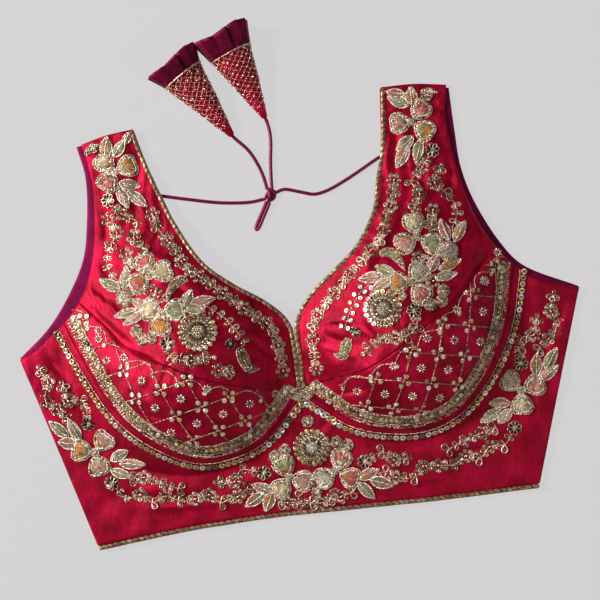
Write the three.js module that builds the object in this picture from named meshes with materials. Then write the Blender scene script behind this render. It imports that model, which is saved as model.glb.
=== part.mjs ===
// Choli blouse: a sleeveless katori-cut bodice with moulded cups, laid on its back.
//
// The two layers lie on each other. The back is flat and open in a deep U, and the front lies
// on it and stands up in the two cups, so the front is cut from one rounded surface. Each
// cloth piece is a thin wall between two lines of the pattern, bent to that surface.
// A pair of ties leaves the back's neck edge, meets in a knot, and ends in two stuffed cones.
//
// Millimetres. X runs along the hem from the centre front, Y from the hem to the shoulders,
// Z up. The whole group is moved at the end so that the cloth's base is centred on the origin.
import * as THREE from "three";

// ---------------------------------------------------------------- driving sizes
const SIDES = [
  { name: "left", way: -1 },
  { name: "right", way: 1 },
];
const SEAM_GAP = 0.3; // two pieces that are sewn together
const BACK_CLOTH = 1.5; // silk and its backing
const LINING_CLOTH = 1;
const LINING_WIDTH = 16;
const FRONT_CLOTH = 1.6;
const KATORI_CLOTH = 2.8; // padded
const PIPING_WIDTH = 4;
const PIPING_CLOTH = 2.4;
const PIPING_PROUD = 0.6; // how far the braid stands above the silk beside it
const LAY = BACK_CLOTH + LINING_CLOTH + 2 * SEAM_GAP + FRONT_CLOTH + 0.1; // top of a flat front

const CORD = 3;
const CORD_SIDES = 8;
const CORD_REST = CORD / 2 + 0.1; // height of a cord's middle where it lies on the table

// ---------------------------------------------------------------- pattern lines
// Points of each line for the two halves. They are cut alike and lie a little differently.
// Columns: left x, left y, right x, right y.
const NECK_EDGE = [
  [-113, 354, 102, 361],
  [-106, 325, 94.5, 308],
  [-96, 293, 87, 283],
  [-86, 266, 80, 257],
  [-68, 233, 61, 229],
  [-46, 212, 39, 211],
  [-20, 193, 20, 196],
  [-6, 178.5, 6, 180],
  [-1.8, 169, 1.8, 170],
  [-0.7, 158, 0.7, 159],
  [-0.6, 136, 0.6, 136],
  [-0.6, 114, 0.6, 114],
];
const ARM_EDGE = [
  [-159, 347, 158, 355.5],
  [-154, 313, 153.5, 328],
  [-157, 276, 155, 300],
  [-161, 254, 160, 268],
  [-168, 232, 169, 235],
  [-178.5, 213, 182.5, 208.5],
];
const ARM_EDGE_AT_CUP = [
  [-178.5, 213, 182.5, 208.5],
  [-186, 204, 188, 201.5],
  [-194, 197, 194, 195],
];
const ARM_EDGE_BELOW = [
  [-194, 197, 194, 195],
  [-206, 189, 210, 182],
  [-220, 178, 228, 174],
  [-236, 171.5, 247.5, 168],
];
const SHOULDER_EDGE = [
  [-113, 354, 102, 361],
  [-136, 352, 130, 360],
  [-159, 347, 158, 355.5],
];
const CROSS_SEAM = [
  [-4.7, 119, 4.7, 119],
  [-27, 120, 26, 121.5],
  [-77, 135, 58, 127],
  [-111, 152, 103, 150.5],
  [-140, 170, 140, 176],
  [-157, 190, 158, 194],
  [-178.5, 213, 182.5, 208.5],
];
const KATORI_SEAM = [
  [-4.7, 109.5, 4.7, 109.5],
  [-42, 74, 42, 78],
  [-89, 64.5, 91, 66],
  [-128, 84, 124, 74],
  [-157, 114, 150, 96],
  [-178, 156, 178, 140],
  [-194, 197, 194, 195],
];
const BACK_NECK = [
  [-117, 351, 106, 358],
  [-110, 310, 100, 308],
  [-101, 272, 92, 262],
  [-88, 205, 84, 205],
  [-76, 160, 74, 160],
  [-45, 113, 45, 113],
  [0, 97, 0, 97],
];
const BACK_ARM = [
  [-163.5, 345.5, 160, 353],
  [-159.5, 319, 160, 315],
  [-163.5, 280, 161, 285],
  [-171.5, 248, 168, 255],
  [-193.2, 212.4, 186, 215],
  [-211, 192.2, 202, 194],
  [-236, 172.5, 247.5, 169],
];
const SIDE_SEAM = [
  [-236, 171.5, 247.5, 168],
  [-191, 0, 190.5, 2],
];
const HEM_EDGE = [
  [-191, 0, 190.5, 2],
  [-120, 5.5, 105, 3],
  [-50, 7.5, 40, 5],
  [0, 6.5, 0, 6.5],
];
const BAND_PEAK = [0, 112.8];
// How far from the centre front the band's threads meet the hem, below its side seam, its
// corner on the armhole and the inner end of the cup's seam.
const BAND_HEM = { side: 190.8, corner: 183, cup: 4 };
const CROSS_STEPS = 11; // facets along the cross seam
const SEAM_STEPS = 2 * CROSS_STEPS; // facets along the seam round a cup

// ---------------------------------------------------------------- the front's rounded form
const CUP_HEIGHT = 44;
const CUP_TOP = { left: [-98, 138], right: [96, 142] };
// How far the cup reaches from its top, and how soon it flattens out, round the compass:
// 0 is away from the centre front, 90 towards the shoulder, 180 to the centre, 270 to the hem.
const CUP_REACH = [
  { angle: 0, reach: 97, ease: 1.3 },
  { angle: 45, reach: 134, ease: 1.8 },
  { angle: 90, reach: 168, ease: 2.4 },
  { angle: 135, reach: 126, ease: 1.9 },
  { angle: 180, reach: 97, ease: 1.5 },
  { angle: 225, reach: 94, ease: 1.25 },
  { angle: 270, reach: 85, ease: 1.15 },
  { angle: 315, reach: 88, ease: 1.2 },
];
// Low swells of the cloth: x, y, half width, half length, height.
const SWELLS = [
  { where: "middle", x: 0, y: 150, wide: 185, long: 115, height: 5 },
  { where: "left strap", x: -128, y: 286, wide: 70, long: 62, height: 3.6 },
  { where: "right strap", x: 122, y: 290, wide: 70, long: 64, height: 3.6 },
];
// The largest folds, each a soft ridge between two points.
const FOLDS = [
  { where: "left underarm", from: [-160, 205], to: [-118, 176], wide: 9, height: 2.6 },
  { where: "right underarm", from: [172, 210], to: [128, 170], wide: 9, height: 2.8 },
  { where: "left side", from: [-222, 164], to: [-186, 120], wide: 9, height: 2 },
  { where: "right side", from: [232, 160], to: [196, 128], wide: 9, height: 2 },
  { where: "left band", from: [-165, 50], to: [-60, 36], wide: 8, height: 1.8 },
  { where: "right band", from: [60, 38], to: [168, 58], wide: 8, height: 1.8 },
];

// ---------------------------------------------------------------- ties and tassels
// Routes of the ties where they lie: x, y.
const TIE_ROUTES = [
  {
    name: "dori_left",
    points: [[-104.6, 296.4], [-96, 294], [-74, 288], [-47, 281.5], [-22, 278.6], [-10, 279.6]],
  },
  {
    name: "dori_right",
    points: [[1.4, 284], [8, 285.6], [22, 281.4], [33, 278], [44, 279.4], [63, 287], [91, 301],
      [98.2, 304.4]],
  },
  {
    name: "dori_tail_a",
    points: [[-6.2, 287.2], [-7.4, 296], [-10.6, 308], [-17.5, 322.6], [-28.8, 336]],
  },
  {
    name: "dori_tail_b",
    points: [[-2.2, 287.2], [-1.6, 296], [0, 312], [2.2, 326], [2.6, 336], [0.8, 347.4]],
  },
];
const KNOT = { x: -4.2, y: 282.2, wide: 10.4, long: 8.4, high: 6.4 };
const LOOP = { far: [-20, 254.5], apart: 3.6 }; // the short bow under the knot
const CONE_BASE = { wide: 37, high: 22 };
const CONE_TIP = 5;
const RUFFLE = { flare: 1.17, pleats: 9, depth: 0.13, cloth: 1.4 };
const LATKANS = [
  { name: "a", tip: [-29.8, 337.4], heading: 121.6, cone: 66, ruffle: 14.5 },
  { name: "b", tip: [0.2, 348.9], heading: 110.4, cone: 61.5, ruffle: 19 },
];

// ---------------------------------------------------------------- materials
function cloth(colour, roughness, metalness = 0) {
  return new THREE.MeshStandardMaterial({ color: colour, roughness, metalness });
}
const SILK = cloth(0xa80a2d, 0.42);
const LINING = cloth(0x8c1450, 0.6);
const ZARI = cloth(0xb89a68, 0.4, 0.7);
const TIE = cloth(0x6e0f3c, 0.55);
const TASSEL = cloth(0x9c1a34, 0.5);

// ---------------------------------------------------------------- lines
// Evenly spaced points along a smooth line through the points given.
function smoothLine(points, steps) {
  const curve = new THREE.CatmullRomCurve3(
    points.map(([x, y]) => new THREE.Vector3(x, y, 0)),
    false,
    "centripetal",
  );
  return curve.getSpacedPoints(steps).map((p) => [p.x, p.y]);
}

// One half's points from a table of both halves.
function half(table, side) {
  const at = side.way < 0 ? 0 : 2;
  return table.map((row) => [row[at], row[at + 1]]);
}

// Evenly spaced points along one half's line of a table.
function patternLine(table, side, steps) {
  return smoothLine(half(table, side), steps);
}

// The same line moved sideways, to its left for a positive distance.
function offsetLine(line, distance) {
  return line.map(([x, y], i) => {
    const before = line[Math.max(i - 1, 0)];
    const after = line[Math.min(i + 1, line.length - 1)];
    const run = Math.hypot(after[0] - before[0], after[1] - before[1]);
    return [
      x - (distance * (after[1] - before[1])) / run,
      y + (distance * (after[0] - before[0])) / run,
    ];
  });
}

function mix(a, b, t) {
  return a.map((value, k) => value + (b[k] - value) * t);
}

// The same facets with a point added in the middle of each.
function halvedLine(line) {
  return line.flatMap((point, i) => (i ? [mix(line[i - 1], point, 0.5), point] : [point]));
}

// ---------------------------------------------------------------- the front's height
// The value of one column of the reach table at an angle, on a smooth closed curve.
function aroundCup(angle, column) {
  const count = CUP_REACH.length;
  const place = (((angle / 360) * count) % count + count) % count;
  const at = Math.floor(place);
  const t = place - at;
  const value = (k) => CUP_REACH[(at + k + count) % count][column];
  const slope = (k) => (value(k + 1) - value(k - 1)) / 2;
  const t2 = t * t;
  const t3 = t2 * t;
  return (
    value(0) * (2 * t3 - 3 * t2 + 1) +
    slope(0) * (t3 - 2 * t2 + t) +
    value(1) * (3 * t2 - 2 * t3) +
    slope(1) * (t3 - t2)
  );
}

function cupRise(x, y, side) {
  const [topX, topY] = CUP_TOP[side.name];
  const out = (x - topX) * side.way;
  const up = y - topY;
  const angle = (Math.atan2(up, out) * 180) / Math.PI;
  const share = Math.hypot(out, up) / aroundCup(angle, "reach");
  return share < 1 ? CUP_HEIGHT * (1 - share * share) ** aroundCup(angle, "ease") : 0;
}

function swellRise(x, y, swell) {
  const share = Math.hypot((x - swell.x) / swell.wide, (y - swell.y) / swell.long);
  return share < 1 ? swell.height * Math.cos((share * Math.PI) / 2) ** 2 : 0;
}

function foldRise(x, y, fold) {
  const [dx, dy] = [fold.to[0] - fold.from[0], fold.to[1] - fold.from[1]];
  const length = Math.hypot(dx, dy);
  const along = ((x - fold.from[0]) * dx + (y - fold.from[1]) * dy) / length;
  const across = ((x - fold.from[0]) * dy - (y - fold.from[1]) * dx) / length;
  if (along < 0 || along > length) return 0;
  return fold.height * Math.sin((Math.PI * along) / length) * Math.exp(-((across / fold.wide) ** 2));
}

// Height of the front's upper side over the table.
function frontTop(x, y) {
  const cups = SIDES.reduce((sum, side) => sum + cupRise(x, y, side), 0);
  const swells = SWELLS.reduce((sum, swell) => sum + swellRise(x, y, swell), 0);
  const folds = FOLDS.reduce((sum, fold) => sum + foldRise(x, y, fold), 0);
  return LAY + cups + swells + folds;
}

// How much longer a wall is measured straight down than square to the cloth.
function steepness(x, y) {
  const step = 1;
  const alongX = (frontTop(x + step, y) - frontTop(x - step, y)) / (2 * step);
  const alongY = (frontTop(x, y + step) - frontTop(x, y - step)) / (2 * step);
  return Math.sqrt(1 + alongX ** 2 + alongY ** 2);
}

// ---------------------------------------------------------------- grids of cloth
// Rows of points between two lines that have the same number of points.
function ruledGrid(lineA, lineB, steps) {
  return Array.from({ length: steps + 1 }, (_, j) =>
    lineA.map((point, i) => mix(point, lineB[i], j / steps)),
  );
}

// Rows of points in a four-sided patch: start and end run along the rows' first and last
// points, first and last are its first and last rows.
function patchGrid(first, last, start, end) {
  const columns = first.length - 1;
  const rows = start.length - 1;
  return start.map((_, j) =>
    first.map((_, i) => {
      const [u, v] = [i / columns, j / rows];
      const across = mix(start[j], end[j], u);
      const down = mix(first[i], last[i], v);
      const corners = mix(
        mix(first[0], first[columns], u),
        mix(last[0], last[columns], u),
        v,
      );
      return across.map((value, k) => value + down[k] - corners[k]);
    }),
  );
}

// Pulls one edge of a grid in by half a seam gap, square to that edge.
function openSeam(grid, edge) {
  const last = edge === "last" ? grid.length - 1 : 0;
  const inner = edge === "last" ? last - 1 : 1;
  const row = grid[last];
  grid[last] = row.map((point, i) => {
    const before = row[Math.max(i - 1, 0)];
    const after = row[Math.min(i + 1, row.length - 1)];
    const run = [after[0] - before[0], after[1] - before[1]];
    const inward = [grid[inner][i][0] - point[0], grid[inner][i][1] - point[1]];
    const square = Math.abs(run[0] * inward[1] - run[1] * inward[0]) / Math.hypot(...run);
    const share = Math.min(SEAM_GAP / 2 / square, 0.5);
    return [point[0] + inward[0] * share, point[1] + inward[1] * share];
  });
  return grid;
}

function turned(grid) {
  return grid[0].map((_, i) => grid.map((row) => row[i]));
}

// A closed wall over a grid: heights(x, y) gives its lower and upper side.
function wallGeometry(grid, heights) {
  const rows = grid.length;
  const columns = grid[0].length;
  const points = [];
  for (const upper of [0, 1])
    for (const row of grid)
      for (const [x, y] of row) points.push(x, y, heights(x, y)[upper]);
  const at = (upper, j, i) => upper * rows * columns + j * columns + i;
  const faces = [];
  const quad = (a, b, c, d) => faces.push(a, b, c, a, c, d);
  for (let j = 0; j + 1 < rows; j++)
    for (let i = 0; i + 1 < columns; i++) {
      quad(at(1, j, i), at(1, j, i + 1), at(1, j + 1, i + 1), at(1, j + 1, i));
      quad(at(0, j, i), at(0, j + 1, i), at(0, j + 1, i + 1), at(0, j, i + 1));
    }
  for (let i = 0; i + 1 < columns; i++) {
    quad(at(0, 0, i), at(0, 0, i + 1), at(1, 0, i + 1), at(1, 0, i));
    quad(at(0, rows - 1, i + 1), at(0, rows - 1, i), at(1, rows - 1, i), at(1, rows - 1, i + 1));
  }
  for (let j = 0; j + 1 < rows; j++) {
    quad(at(0, j + 1, 0), at(0, j, 0), at(1, j, 0), at(1, j + 1, 0));
    quad(at(0, j, columns - 1), at(0, j + 1, columns - 1), at(1, j + 1, columns - 1),
      at(1, j, columns - 1));
  }
  return closedGeometry(points, faces);
}

// A geometry from points and faces, turned outside out if it encloses a negative volume.
function closedGeometry(points, faces) {
  const corner = (k) => new THREE.Vector3().fromArray(points, 3 * faces[k]);
  let volume = 0;
  for (let k = 0; k < faces.length; k += 3)
    volume += corner(k).dot(corner(k + 1).cross(corner(k + 2)));
  if (volume < 0) faces.reverse();
  const geometry = new THREE.BufferGeometry();
  geometry.setAttribute("position", new THREE.Float32BufferAttribute(points, 3));
  geometry.setIndex(faces);
  geometry.computeVertexNormals();
  return geometry;
}

// ---------------------------------------------------------------- the pieces
const clothGroup = new THREE.Group();
const tieGroup = new THREE.Group();

function addMesh(group, name, geometry, material) {
  const mesh = new THREE.Mesh(geometry, material);
  mesh.name = name;
  group.add(mesh);
}

// A front piece: a wall under the front's upper side.
function addFront(name, grid, material, thickness, proud = 0) {
  const heights = (x, y) => {
    const top = frontTop(x, y);
    return [top - thickness * steepness(x, y) + proud, top + proud];
  };
  addMesh(clothGroup, name, wallGeometry(grid, heights), material);
}

// A flat piece that lies at one height.
function addFlat(name, grid, material, thickness, height = 0) {
  addMesh(clothGroup, name, wallGeometry(grid, () => [height, height + thickness]), material);
}

// Strap and upper cup in one: shoulder, armhole, cross seam and the piped neck edge.
function addUpper(side) {
  const steps = { along: 22, across: CROSS_STEPS };
  const neck = offsetLine(patternLine(NECK_EDGE, side, steps.along), side.way * PIPING_WIDTH);
  const arm = patternLine(ARM_EDGE, side, steps.along);
  const shoulder = patternLine(SHOULDER_EDGE, side, steps.across);
  const cross = patternLine(CROSS_SEAM, side, steps.across);
  neck[0] = mix(shoulder[0], shoulder[steps.across], PIPING_WIDTH / 50);
  neck[steps.along] = cross[0];
  shoulder[0] = neck[0];
  const grid = patchGrid(shoulder, cross, neck, arm);
  openSeam(grid, "last");
  const pulled = turned(openSeam(turned(grid), "first"));
  addFront(`front_upper_${side.name}`, pulled, SILK, FRONT_CLOTH);
}

// Lower cup: a padded half moon between the cross seam and the seam round the cup.
function addKatori(side) {
  const steps = { across: 6 };
  const cross = halvedLine(patternLine(CROSS_SEAM, side, CROSS_STEPS));
  const seam = patternLine(KATORI_SEAM, side, SEAM_STEPS);
  const arm = patternLine(ARM_EDGE_AT_CUP, side, steps.across);
  const grid = ruledGrid(cross, seam, steps.across);
  grid.forEach((row, j) => {
    row[SEAM_STEPS] = arm[j];
  });
  openSeam(grid, "first");
  openSeam(grid, "last");
  addFront(`katori_${side.name}`, grid, SILK, KATORI_CLOTH);
}

// The height of the hem's upper line at a distance along it.
function hemHeight(x, side) {
  const hem = patternLine(HEM_EDGE, side, 80);
  const near = hem.reduce((a, b) => (Math.abs(b[0] - x) < Math.abs(a[0] - x) ? b : a));
  return near[1] + PIPING_WIDTH;
}

// The band under the cups, with its side wings, from one side seam to the other.
function addBand() {
  const steps = { wing: 5, down: 6 };
  const halves = SIDES.map((side) => {
    const wing = patternLine(ARM_EDGE_BELOW, side, steps.wing).reverse();
    const seam = patternLine(KATORI_SEAM, side, SEAM_STEPS).reverse().slice(1);
    const top = [...wing, ...seam, BAND_PEAK];
    const below = top.map((_, i) => {
      const onWing = i / steps.wing;
      const onSeam = (i - steps.wing) / SEAM_STEPS;
      let out = onWing < 1
        ? BAND_HEM.side + (BAND_HEM.corner - BAND_HEM.side) * onWing
        : BAND_HEM.corner + (BAND_HEM.cup - BAND_HEM.corner) * onSeam;
      if (i === top.length - 1) out = 0;
      return [out * side.way, hemHeight(out * side.way, side)];
    });
    return { top, below };
  });
  const [left, right] = halves;
  const top = [...left.top, ...right.top.slice(0, -1).reverse()];
  const below = [...left.below, ...right.below.slice(0, -1).reverse()];
  const grid = ruledGrid(top, below, steps.down);
  openSeam(grid, "first");
  openSeam(grid, "last");
  addFront("front_band", grid, SILK, FRONT_CLOTH);
}

// The back: one piece, both straps, with a deep U between them.
function addBack() {
  const steps = { arm: 12, side: 5, hem: 9, across: 4 };
  const halves = SIDES.map((side) => {
    const hem = patternLine(HEM_EDGE, side, steps.hem).map(([x, y]) => [x, y + PIPING_WIDTH]);
    const outer = [
      ...patternLine(BACK_ARM, side, steps.arm),
      ...patternLine(SIDE_SEAM, side, steps.side).slice(1, -1),
      ...hem,
    ];
    return { outer, inner: patternLine(BACK_NECK, side, outer.length - 1) };
  });
  const [left, right] = halves;
  const outer = [...left.outer, ...right.outer.slice(0, -1).reverse()];
  const inner = [...left.inner, ...right.inner.slice(0, -1).reverse()];
  const grid = ruledGrid(outer, inner, steps.across);
  openSeam(grid, "first");
  addFlat("back_panel", grid, SILK, BACK_CLOTH);
}

// The back's lining where it shows inside the armhole.
function addLining(side) {
  const edge = patternLine(BACK_ARM, side, 18);
  const inner = offsetLine(edge, -side.way * LINING_WIDTH);
  addFlat(`armhole_lining_${side.name}`, ruledGrid(edge, inner, 2), LINING, LINING_CLOTH,
    BACK_CLOTH + SEAM_GAP);
}

// Gold braid round the neck edge and down the centre front.
function addNeckPiping(side) {
  const edge = patternLine(NECK_EDGE, side, 36);
  const inner = offsetLine(edge, side.way * PIPING_WIDTH);
  const grid = openSeam(ruledGrid(edge, inner, 1), "last");
  addFront(`neck_piping_${side.name}`, grid, ZARI, PIPING_CLOTH, PIPING_PROUD);
}

// Gold braid round the hem, on both layers.
function addHemPiping() {
  const [left, right] = SIDES.map((side) => patternLine(HEM_EDGE, side, 16));
  const edge = [...left, ...right.slice(0, -1).reverse()];
  const inner = edge.map(([x, y]) => [x, y + PIPING_WIDTH]);
  const grid = openSeam(ruledGrid(edge, inner, 1), "last");
  addFront("hem_piping_front", grid, ZARI, PIPING_CLOTH, PIPING_PROUD);
  addFlat("hem_piping_back", grid, ZARI, BACK_CLOTH);
}

// A closed tube of the tie's round section along points in space.
function cordGeometry(points) {
  const route = new THREE.CatmullRomCurve3(points, false, "centripetal");
  const section = new THREE.Shape().absarc(0, 0, CORD / 2, 0, 2 * Math.PI);
  return new THREE.ExtrudeGeometry(section, {
    curveSegments: CORD_SIDES / 2,
    steps: Math.ceil(route.getLength() / (2.5 * CORD)),
    extrudePath: route,
    bevelEnabled: false,
  });
}

function addTies() {
  for (const { name, points } of TIE_ROUTES) {
    const route = points.map(([x, y]) => new THREE.Vector3(x, y, CORD_REST));
    addMesh(tieGroup, name, cordGeometry(route), TIE);
  }
}

// The knot: a squashed ball. The bow under it: one bight of the tie, out and back.
function addKnotAndLoop() {
  const ball = new THREE.SphereGeometry(0.5, 12, 8);
  ball.scale(KNOT.wide, KNOT.long, KNOT.high);
  ball.translate(KNOT.x, KNOT.y, KNOT.high / 2 + 0.2);
  addMesh(tieGroup, "dori_knot", ball, TIE);
  const near = new THREE.Vector2(KNOT.x - 2.6, KNOT.y - 5.4);
  const far = new THREE.Vector2(...LOOP.far);
  const along = far.clone().sub(near).normalize();
  const across = new THREE.Vector2(-along.y, along.x).multiplyScalar(LOOP.apart / 2);
  const bight = [
    [0, 1], [0.5, 1.05], [0.86, 1.25], [1, 0], [0.86, -1.25], [0.5, -1.05], [0, -1],
  ];
  const route = bight.map(([share, way]) => {
    const middle = near.clone().lerp(far, share);
    middle.addScaledVector(across, way);
    return new THREE.Vector3(middle.x, middle.y, CORD_REST);
  });
  addMesh(tieGroup, "dori_loop", cordGeometry(route), TIE);
}

// Rings of points joined into one closed solid. A hollow one joins its last ring to its first.
function ringGeometry(rings, hollow) {
  const count = rings[0].length;
  const points = rings.flat().flatMap((p) => [p.x, p.y, p.z]);
  const faces = [];
  const joins = hollow ? rings.length : rings.length - 1;
  for (let j = 0; j < joins; j++)
    for (let i = 0; i < count; i++) {
      const [a, b] = [j * count + i, j * count + ((i + 1) % count)];
      const next = ((j + 1) % rings.length) * count;
      const [c, d] = [next + ((i + 1) % count), next + i];
      faces.push(a, b, c, a, c, d);
    }
  if (!hollow)
    for (let i = 1; i + 1 < count; i++) {
      const last = (rings.length - 1) * count;
      faces.push(0, i + 1, i, last, last + i, last + i + 1);
    }
  return closedGeometry(points, faces);
}

// A stuffed cone of silk with a pleated frill round its wide end, lying on its side.
function addLatkan({ name, tip, heading, cone, ruffle }) {
  const turn = (heading * Math.PI) / 180;
  const along = new THREE.Vector3(Math.cos(turn), Math.sin(turn), 0);
  const across = new THREE.Vector3(-along.y, along.x, 0);
  const start = new THREE.Vector3(tip[0], tip[1], 0);
  const ring = (distance, wide, high, count, wave, inset) =>
    Array.from({ length: count }, (_, i) => {
      const angle = (2 * Math.PI * i) / count;
      const pleat = 1 + wave * Math.cos(RUFFLE.pleats * angle);
      const point = start.clone().addScaledVector(along, distance);
      point.addScaledVector(across, (wide / 2 - inset) * pleat * Math.cos(angle));
      const height = (high / 2) * (1 + 0.94 * Math.sin(angle) * pleat);
      point.z = Math.max(height - inset * Math.sin(angle), 0) + 0.3 + inset * 0.3;
      return point;
    });
  const stations = [0, 0.25, 0.5, 0.75, 1];
  const rings = stations.map((share) =>
    ring(
      share * cone,
      CONE_TIP + (CONE_BASE.wide - CONE_TIP) * share,
      CONE_TIP + (CONE_BASE.high - CONE_TIP) * share ** 0.9,
      16, 0, 0,
    ),
  );
  addMesh(tieGroup, `latkan_cone_${name}`, ringGeometry(rings, false), TASSEL);
  const frill = [
    [0, 1, 0], [ruffle, RUFFLE.flare, 0],
    [ruffle, RUFFLE.flare, RUFFLE.cloth], [0, 1, RUFFLE.cloth],
  ].map(([distance, flare, inset]) =>
    ring(
      cone + SEAM_GAP + distance,
      CONE_BASE.wide * flare, CONE_BASE.high * flare,
      4 * RUFFLE.pleats, distance > 0 ? RUFFLE.depth : RUFFLE.depth / 3, inset,
    ),
  );
  addMesh(tieGroup, `latkan_ruffle_${name}`, ringGeometry(frill, true), TIE);
}

addBack();
addBand();
addHemPiping();
for (const side of SIDES) {
  addLining(side);
  addUpper(side);
  addKatori(side);
  addNeckPiping(side);
}
addTies();
addKnotAndLoop();
LATKANS.forEach(addLatkan);

// ---------------------------------------------------------------- the whole blouse
const blouse = new THREE.Group();
blouse.add(clothGroup, tieGroup);
const box = new THREE.Box3().setFromObject(clothGroup);
const middle = box.getCenter(new THREE.Vector3());
blouse.position.set(-middle.x, -middle.y, -box.min.z);

export default blouse;
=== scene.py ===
# %% [markdown]
# # A choli blouse, laid flat
#
# A choli is a short fitted blouse. This one is katori-cut: each front has a padded lower cup
# sewn to a strap and upper cup, and a band runs under both. It lies on its back with the front
# up, and its ties run out of the back's neck edge to a knot and two tassels.
#
# The model starts from a frame that holds every piece at its real size. Each cell below makes
# one piece or one finish and says why it is made that way.

# %% Load the frame
import math

import bmesh
import bpy
import numpy as np
from mathutils import Matrix, Vector


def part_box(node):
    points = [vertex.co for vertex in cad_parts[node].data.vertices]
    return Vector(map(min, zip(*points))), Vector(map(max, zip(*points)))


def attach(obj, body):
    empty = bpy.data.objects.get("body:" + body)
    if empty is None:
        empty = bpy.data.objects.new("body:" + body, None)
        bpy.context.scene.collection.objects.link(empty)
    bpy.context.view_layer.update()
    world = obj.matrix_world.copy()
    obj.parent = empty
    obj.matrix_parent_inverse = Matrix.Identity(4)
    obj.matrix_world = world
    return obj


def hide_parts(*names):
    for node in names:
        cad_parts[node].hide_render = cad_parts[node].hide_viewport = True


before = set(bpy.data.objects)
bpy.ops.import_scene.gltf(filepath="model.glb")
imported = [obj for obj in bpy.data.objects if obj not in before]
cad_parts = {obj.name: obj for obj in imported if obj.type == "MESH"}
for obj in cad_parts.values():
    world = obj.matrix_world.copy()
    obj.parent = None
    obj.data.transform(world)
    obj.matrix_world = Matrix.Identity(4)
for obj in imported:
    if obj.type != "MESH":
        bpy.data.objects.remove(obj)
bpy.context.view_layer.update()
scene = bpy.context.scene
MM = 0.001
print("frame:", len(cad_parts), "pieces")

# %% [markdown]
# ## Where things are
#
# A cutter measures a blouse from two lines: the centre front and the hem. All sizes below are
# millimetres from those lines, so they read like a pattern. The frame's origin is in the middle
# of the cloth instead, so one shift, found from the frame's own box, turns one into the other.

# %% From the pattern's sizes to the frame's
SIDE_SEAM_X = 247.5  # the right side seam's top
NECK_TOP_Y = 361  # the right shoulder's neck end
_, band_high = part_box("front_band")
_, piping_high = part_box("neck_piping_right")
SHIFT = np.array([
    SIDE_SEAM_X - band_high.x / MM,
    NECK_TOP_Y - piping_high.y / MM,
])


def to_frame(points):
    """Pattern millimetres (x, y, z) to the frame's metres."""
    points = np.array(points, float)
    points[..., :2] -= SHIFT
    return points * MM


def placed(name, data):
    """A new object in the scene."""
    made = bpy.data.objects.new(name, data)
    scene.collection.objects.link(made)
    return made


def unit(vectors):
    """The same directions, one long."""
    return vectors / np.linalg.norm(vectors, axis=-1, keepdims=True)


print("the pattern's origin is", np.round(SHIFT, 2), "mm from the frame's")

# %% [markdown]
# ## The camera
#
# The blouse is seen from straight above, turned a little anticlockwise. A long lens from over a
# metre away keeps the raised cups from leaning outwards, as a tele lens does in a studio.

# %% Camera
VIEW_WIDTH = 516  # mm of the table across the picture
VIEW_MIDDLE = (8.8, 189.6)
VIEW_TURN = -7.8  # degrees
LENS, SENSOR = 90, 36

camera_data = bpy.data.cameras.new("camera")
camera_data.lens = LENS
camera_data.sensor_width = SENSOR
camera = placed("camera", camera_data)
distance = VIEW_WIDTH * LENS / SENSOR
camera.location = to_frame([*VIEW_MIDDLE, distance])
camera.rotation_euler = (0, 0, math.radians(VIEW_TURN))
scene.camera = camera
print("camera height", round(distance), "mm")

# %% [markdown]
# ## Smooth lines
#
# Patterns are drawn with a French curve: a few marked points and one smooth line through them.
# A centripetal Catmull-Rom curve does that, and never loops back between close points. Walking
# along it in even steps gives evenly spaced points, whatever the marks are.


# %% A line through marked points
def smooth_line(points, steps, closed=False):
    """Evenly spaced points along a smooth line through the points, in 2 or 3 dimensions."""
    marks = np.array(points, float)
    if closed:
        knots = np.vstack([marks[-1], marks, marks[0], marks[1]])
    else:
        knots = np.vstack([2 * marks[0] - marks[1], marks, 2 * marks[-1] - marks[-2]])
    fine = []
    for quad in zip(knots, knots[1:], knots[2:], knots[3:]):
        gaps = [max(np.linalg.norm(b - a), 1e-9) ** 0.5 for a, b in zip(quad, quad[1:])]
        t0, t1, t2, t3 = np.cumsum([0, *gaps])
        t = np.linspace(t1, t2, 16, endpoint=False)[:, None]
        p0, p1, p2, p3 = quad
        a1 = (p0 * (t1 - t) + p1 * (t - t0)) / (t1 - t0)
        a2 = (p1 * (t2 - t) + p2 * (t - t1)) / (t2 - t1)
        a3 = (p2 * (t3 - t) + p3 * (t - t2)) / (t3 - t2)
        b1 = (a1 * (t2 - t) + a2 * (t - t0)) / (t2 - t0)
        b2 = (a2 * (t3 - t) + a3 * (t - t1)) / (t3 - t1)
        fine.append((b1 * (t2 - t) + b2 * (t - t1)) / (t2 - t1))
    fine.append(marks[:1] if closed else marks[-1:])
    return spaced(np.vstack(fine), steps)


def spaced(line, steps):
    """The same line with evenly spaced points."""
    walked = np.concatenate([[0], np.cumsum(np.linalg.norm(np.diff(line, axis=0), axis=1))])
    places = np.linspace(0, walked[-1], steps + 1)
    return np.column_stack([np.interp(places, walked, column) for column in line.T])


def line_length(line):
    return np.linalg.norm(np.diff(line, axis=0), axis=1).sum()


# %% [markdown]
# ## The ties
#
# The dori is a limp satin cord, 3 mm thick. Each half leaves the back's neck edge under a strap,
# lies on the table in a lazy curve and goes into the knot; past the knot its free end runs to a
# tassel. A curve with a round bevel is the simplest true cord: its line is the cord's middle, and
# its length is the cord's length. The last 25 mm of each free end are sewn inside the tassel.

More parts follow.
